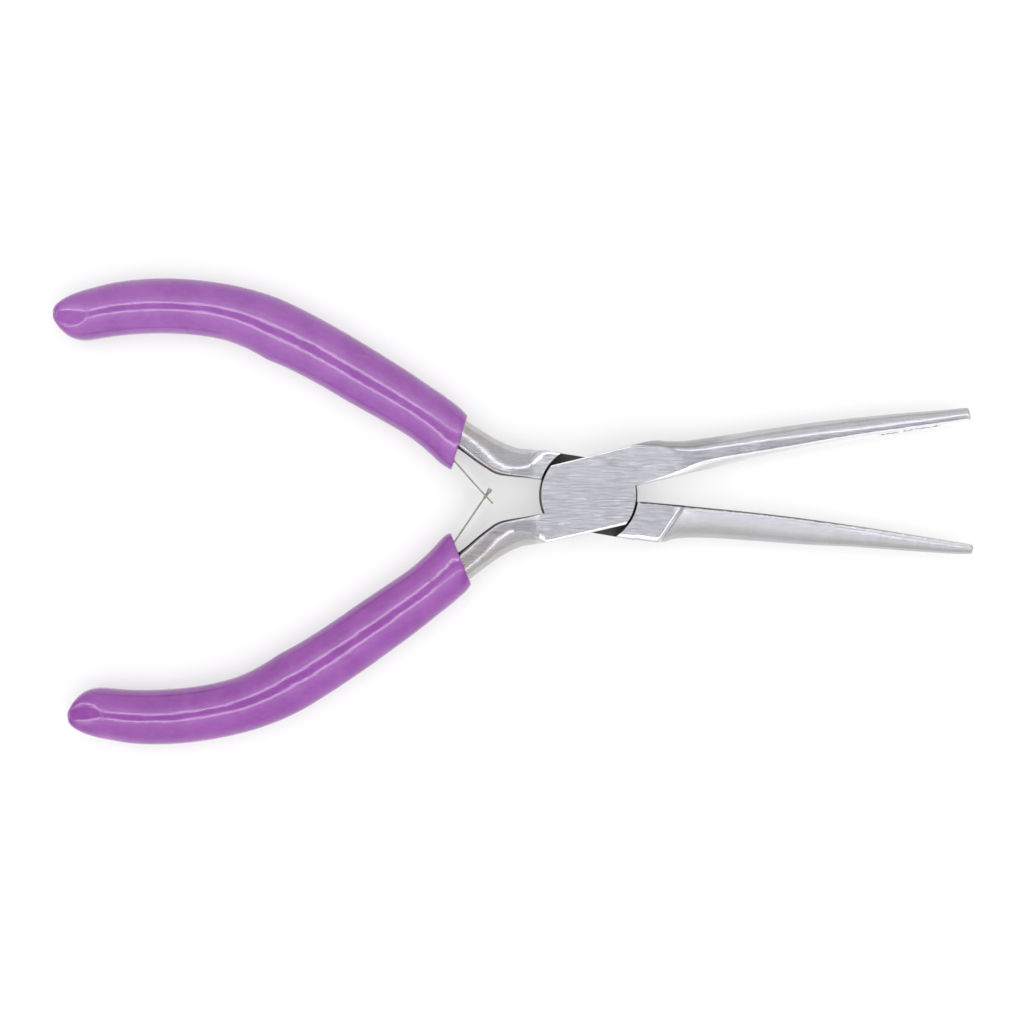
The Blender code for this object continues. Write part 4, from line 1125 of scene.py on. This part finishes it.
# Half depth of the grip, (place along the pairs, depth)
GRIP_DEPTH = [(0.0, GRIP_HALF_DEPTH - 0.45), (1.0, GRIP_HALF_DEPTH - 0.14),
              (2.2, GRIP_HALF_DEPTH - 0.03), (3.5, GRIP_HALF_DEPTH), (15.0, GRIP_HALF_DEPTH)]
GRIP_DEPTH += [(BUTT_START + i, GRIP_HALF_DEPTH * share) for i, (_, share) in enumerate(BUTT)]
# Power of the section's corners; under 1 they swell
GRIP_POWER = [(0.0, 0.9), (2.0, 1.0), (BODY + 0.4, 1.0), (BODY + 0.9, 0.98), (BODY + 2.0, 0.80),
              (BODY + 4.0, 0.60), (BODY + 6.0, 0.48), (BODY + 8.0, 0.48)]
# How deep the butt's facets and its level top are shaved, and the facets' slopes to each hand
FACET_CUT = [(BODY + 1.0, 0.0), (BODY + 1.5, 0.020), (BODY + 3.0, 0.040), (BODY + 5.0, 0.060),
             (BODY + 7.0, 0.060)]
CAP_CUT = [(BODY + 1.0, 0.0), (BODY + 1.6, 0.03), (BODY + 4.5, 0.085), (BODY + 7.0, 0.09)]
FACET_SLOPES = {"front": {1: 0.1157, -1: 0.1423}, "rear": {1: 0.1423, -1: 0.1157}}
# The rounded lip of the mouth, (place along the pairs, size)
LIP = ((0.0, 0.93), (0.03, 0.965), (0.09, 0.99), (0.18, 1.0))
DRIP_HEIGHT = {"front": 0.08, "rear": 0.20}  # a drip hardened on the inner edge
DRIP_X = -54.7
DRIP_LENGTH = 1.5
# Ripples of the coat: depth of slow and quick waves, and where each side reads the noise
SLOW_WAVE = 0.05
QUICK_WAVE = {"front": 0.030, "rear": 0.014}
WAVE_SHIFT = {"front": Vector((3.1, 7.7, 1.3)), "rear": Vector((11.9, 2.3, 5.1))}


def flatten(points, width, slopes, facet_cut, cap_cut):
    """Shaves a round section level at its crown, and into a narrow facet to each hand of it."""
    middle = width / 2
    crown = max(abs(z) for u, z in points) - cap_cut
    shaved = []
    for u, z in points:
        hand = 1 if u - middle > 0 else -1
        slope = slopes[hand]
        reach = max(abs(b) + slope * abs(a - middle) for a, b in points
                    if (a - middle) * hand >= 0)
        height = min(abs(z), crown, reach - facet_cut - slope * abs(u - middle))
        shaved.append((u, math.copysign(height, z)))
    return shaved


def grip_station(side, lows, highs, place_on, size=1.0):
    low, high = catmull_rom(lows, place_on), catmull_rom(highs, place_on)
    swell = DRIP_HEIGHT[side] * math.exp(-((high[0] - DRIP_X) / DRIP_LENGTH) ** 2)
    high = (high[0] + 0.4 * swell, high[1] + 0.9 * swell)
    width = distance(low, high)
    depth = smooth(GRIP_DEPTH, place_on)
    corner = (0.4985 * width, min(0.35, 0.35 * depth / 3.85), 88.5, smooth(GRIP_POWER, place_on))
    corners = dict.fromkeys(("high_top", "low_top", "high_bottom", "low_bottom"), corner)
    points = section(width, depth, depth, corners, 26, 2)
    if place_on > BUTT_START:
        points = flatten(points, width, FACET_SLOPES[side],
                         smooth(FACET_CUT, place_on), smooth(CAP_CUT, place_on))
    return low, high, shrink(points, width, 0.995 * size)


def ripple(shape, side):
    """Slow ripples of a hand-dipped coat, only ever inwards, fading out at the butt."""
    shape.normal_update()
    shift = WAVE_SHIFT[side]
    for vertex in shape.verts:
        x, y, z = vertex.co * 1000
        even = min(1.0, max(0.0, (x + 84.6) / 1.2))
        slow = even * noise.noise(Vector((x * 0.16, y * 0.22, z * 0.22)) + shift)
        quick = even * noise.noise(Vector((x * 0.55, y * 0.6, z * 0.6)) + shift)
        depth = SLOW_WAVE * (0.5 + 0.5 * slow) + QUICK_WAVE[side] * (0.5 + 0.5 * quick)
        vertex.co += vertex.normal * (-depth * MM)


def grip_shape(side):
    pairs = grip_pairs(side)[:-1] + [set_handle(side, pair) for pair, _ in BUTT]
    lows = [pair[0] for pair in pairs]
    highs = [pair[1] for pair in pairs]
    stations = [grip_station(side, lows, highs, place_on, size) for place_on, size in LIP]
    place_on = 0.3
    last = len(pairs) - 1
    while place_on < last - 1e-9:
        stations.append(grip_station(side, lows, highs, place_on))
        place_on += 0.1
    end = grip_station(side, lows, highs, last - 1e-6)
    width = distance(end[0], end[1])
    stations.append(end)
    stations.append(shifted(end, -0.01, 0.0, shrink(end[2], width, 0.6)))
    shape = skin(stations)
    ripple(shape, side)
    return shape


def cavity_shape(side):
    """The tang's own form, grown by the fit, run out past its end."""
    pairs = [inset(pair, -FIT, -FIT) for pair in tang_pairs(side)[4:]]
    stations = shank_stations(side, pairs, 5, grow=FIT)
    last, before = stations[-1], stations[-2]
    dx, dy = last[0][0] - before[0][0], last[0][1] - before[0][1]
    span = math.hypot(dx, dy)
    stations.append(shifted(last, dx / span * 1.4, dy / span * 1.4, last[2]))
    return skin(stations)


def build_grip(which, side):
    grip = place(which + "_grip_dipped", grip_shape(side), PVC[which])
    path = leaf_path(which, side)
    ahead = (path[-1] - path[-2]).normalized()
    behind = (path[0] - path[1]).normalized()
    slot = strip([path[0] + behind * 0.1] + path[1:] + [path[-1] + ahead * 3.0],
                 LEAF_WIDTH / 2 + SLOT_FIT, LEAF_THICKNESS + 2 * SLOT_FIT)
    pocket_top = FOOT_GAP + LEAF_THICKNESS + SLOT_FIT + 0.6
    pocket = cylinder(FOOT_POCKET_RADIUS, -0.5, pocket_top, 32, foot_frame(side))
    cut(grip, [(tool, PVC[which]) for tool in (cavity_shape(side), slot, pocket)])
    carry(grip, side, sharp=40.0)
    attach(grip, side)
    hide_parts(which + "_grip")


# ---- floor, light, camera -----------------------------------------------------------------------
# A light tent: reflections meet a pale sky with two narrow strip lights along X, either side of
# the zenith. Columns are the angle from the zenith towards +Y, in degrees, and the brightness.
STRIP = 5.0
TENT = [(-180, 0.95), (-98, 0.95), (-84, 0.84), (-60, 0.84), (-42, 0.95), (-29, 1.35), (-20, 1.4),
        (-19, STRIP), (-13.5, STRIP), (-12.5, 0.46), (-6, 0.42), (5, 0.42), (9.5, 0.46),
        (10.5, STRIP), (16, STRIP), (17, 1.5), (27, 1.35), (38, 0.82), (60, 0.80), (84, 0.82),
        (98, 0.95), (180, 0.95)]
SKY_SLOPE = -0.26            # diffuse light per unit of direction towards +Y
FOCAL_LENGTH = 85
SENSOR_WIDTH = 36
VIEW_WIDTH = 165.9           # seen width at the front face
VIEW_CENTRE = (-12.37, -2.32)
VIEW_TURN = -2.0


def build_floor():
    shape = bmesh.new()
    bmesh.ops.create_grid(shape, x_segments=1, y_segments=1, size=2.0)
    material, tree = new_material("floor_paper", (0.82, 0.82, 0.82))
    finish_material(tree, (0.40, 0.40, 0.40, 1.0), roughness=0.9, metallic=0.0, **{
        "Specular IOR Level": 0.0, "Emission Color": (1.0, 1.0, 1.0, 1.0),
        "Emission Strength": 0.48})
    floor = place("floor", shape, material)
    floor.location.z = cad_box[0].z - 0.00003


def build_world():
    world = bpy.data.worlds.new("soft_studio")
    bpy.context.scene.world = world
    world.use_nodes = True
    tree = Nodes(world.node_tree)
    x, y, z = tree.field("ShaderNodeTexCoord", output="Generated").split()
    turn = tree.math("ARCTAN2", y, z) * (180.0 / math.pi) / 360.0 + 0.5
    ramp = tree.put("ShaderNodeValToRGB", {"Fac": turn})
    ramp.color_ramp.interpolation = "LINEAR"
    stops = ramp.color_ramp.elements
    for k, (angle, brightness) in enumerate(TENT):
        stop = stops[k] if k < 2 else stops.new(1.0)
        stop.position = (angle + 180) / 360
        stop.color = (brightness / STRIP, brightness / STRIP, brightness / STRIP, 1.0)
    level = Field(tree, ramp.outputs["Color"]) * STRIP
    # the tent darkens towards its ends
    level = level * abs(x).step(start=0.5, end=0.85, before=1.0, after=0.38)
    glossy = tree.tint(tree.grey(level), (0.997, 0.997, 1.01, 1.0))
    soft = z.step(start=0.5, end=0.95, before=0.84, after=2.0) + y * SKY_SLOPE
    rays = tree.put("ShaderNodeLightPath")
    seen = tree.mix(Field(tree, rays.outputs["Is Diffuse Ray"]), glossy, tree.grey(soft))
    seen = tree.mix(Field(tree, rays.outputs["Is Camera Ray"]), seen, (1.0, 1.0, 1.0, 1.0))
    background = tree.field("ShaderNodeBackground", {"Color": seen, "Strength": 1.0})
    tree.put("ShaderNodeOutputWorld", {"Surface": background})


def build_key_light():
    lamp = bpy.data.lights.new("key_softbox", "AREA")
    lamp.shape = "DISK"
    lamp.size = 0.7
    lamp.energy = 0.9
    key = bpy.data.objects.new("key_softbox", lamp)
    bpy.context.scene.collection.objects.link(key)
    key.location = (0.15, -0.45, 0.9)
    key.rotation_mode = "QUATERNION"
    target = Vector((-0.01, 0, 0))
    key.rotation_quaternion = (target - key.location).to_track_quat("-Z", "Y")
    key.visible_glossy = False
    key.visible_camera = False


def build_camera():
    lens = bpy.data.cameras.new("camera")
    lens.lens = FOCAL_LENGTH
    lens.sensor_width = SENSOR_WIDTH
    camera = bpy.data.objects.new("camera", lens)
    bpy.context.scene.collection.objects.link(camera)
    height = HALF_T + VIEW_WIDTH * FOCAL_LENGTH / SENSOR_WIDTH
    camera.location = (VIEW_CENTRE[0] * MM, VIEW_CENTRE[1] * MM, height * MM)
    camera.rotation_euler = (0, 0, math.radians(VIEW_TURN))
    lens.clip_start = 0.01
    lens.clip_end = 10.0
    bpy.context.scene.camera = camera


for side in ("front", "rear"):
    build_half(side)
build_rivet()
for which, side in SIDE_OF.items():
    build_leaf(which, side)
for which in SIDE_OF:
    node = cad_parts[which + "_spring_rivet"]
    node.data.materials.clear()
    node.data.materials.append(RIVET)
for which, side in SIDE_OF.items():
    build_grip(which, side)
build_floor()
build_world()
build_key_light()
build_camera()

bpy.context.scene.view_settings.view_transform = "Standard"
bpy.context.scene.view_settings.look = "None"

bpy.context.view_layer.update()
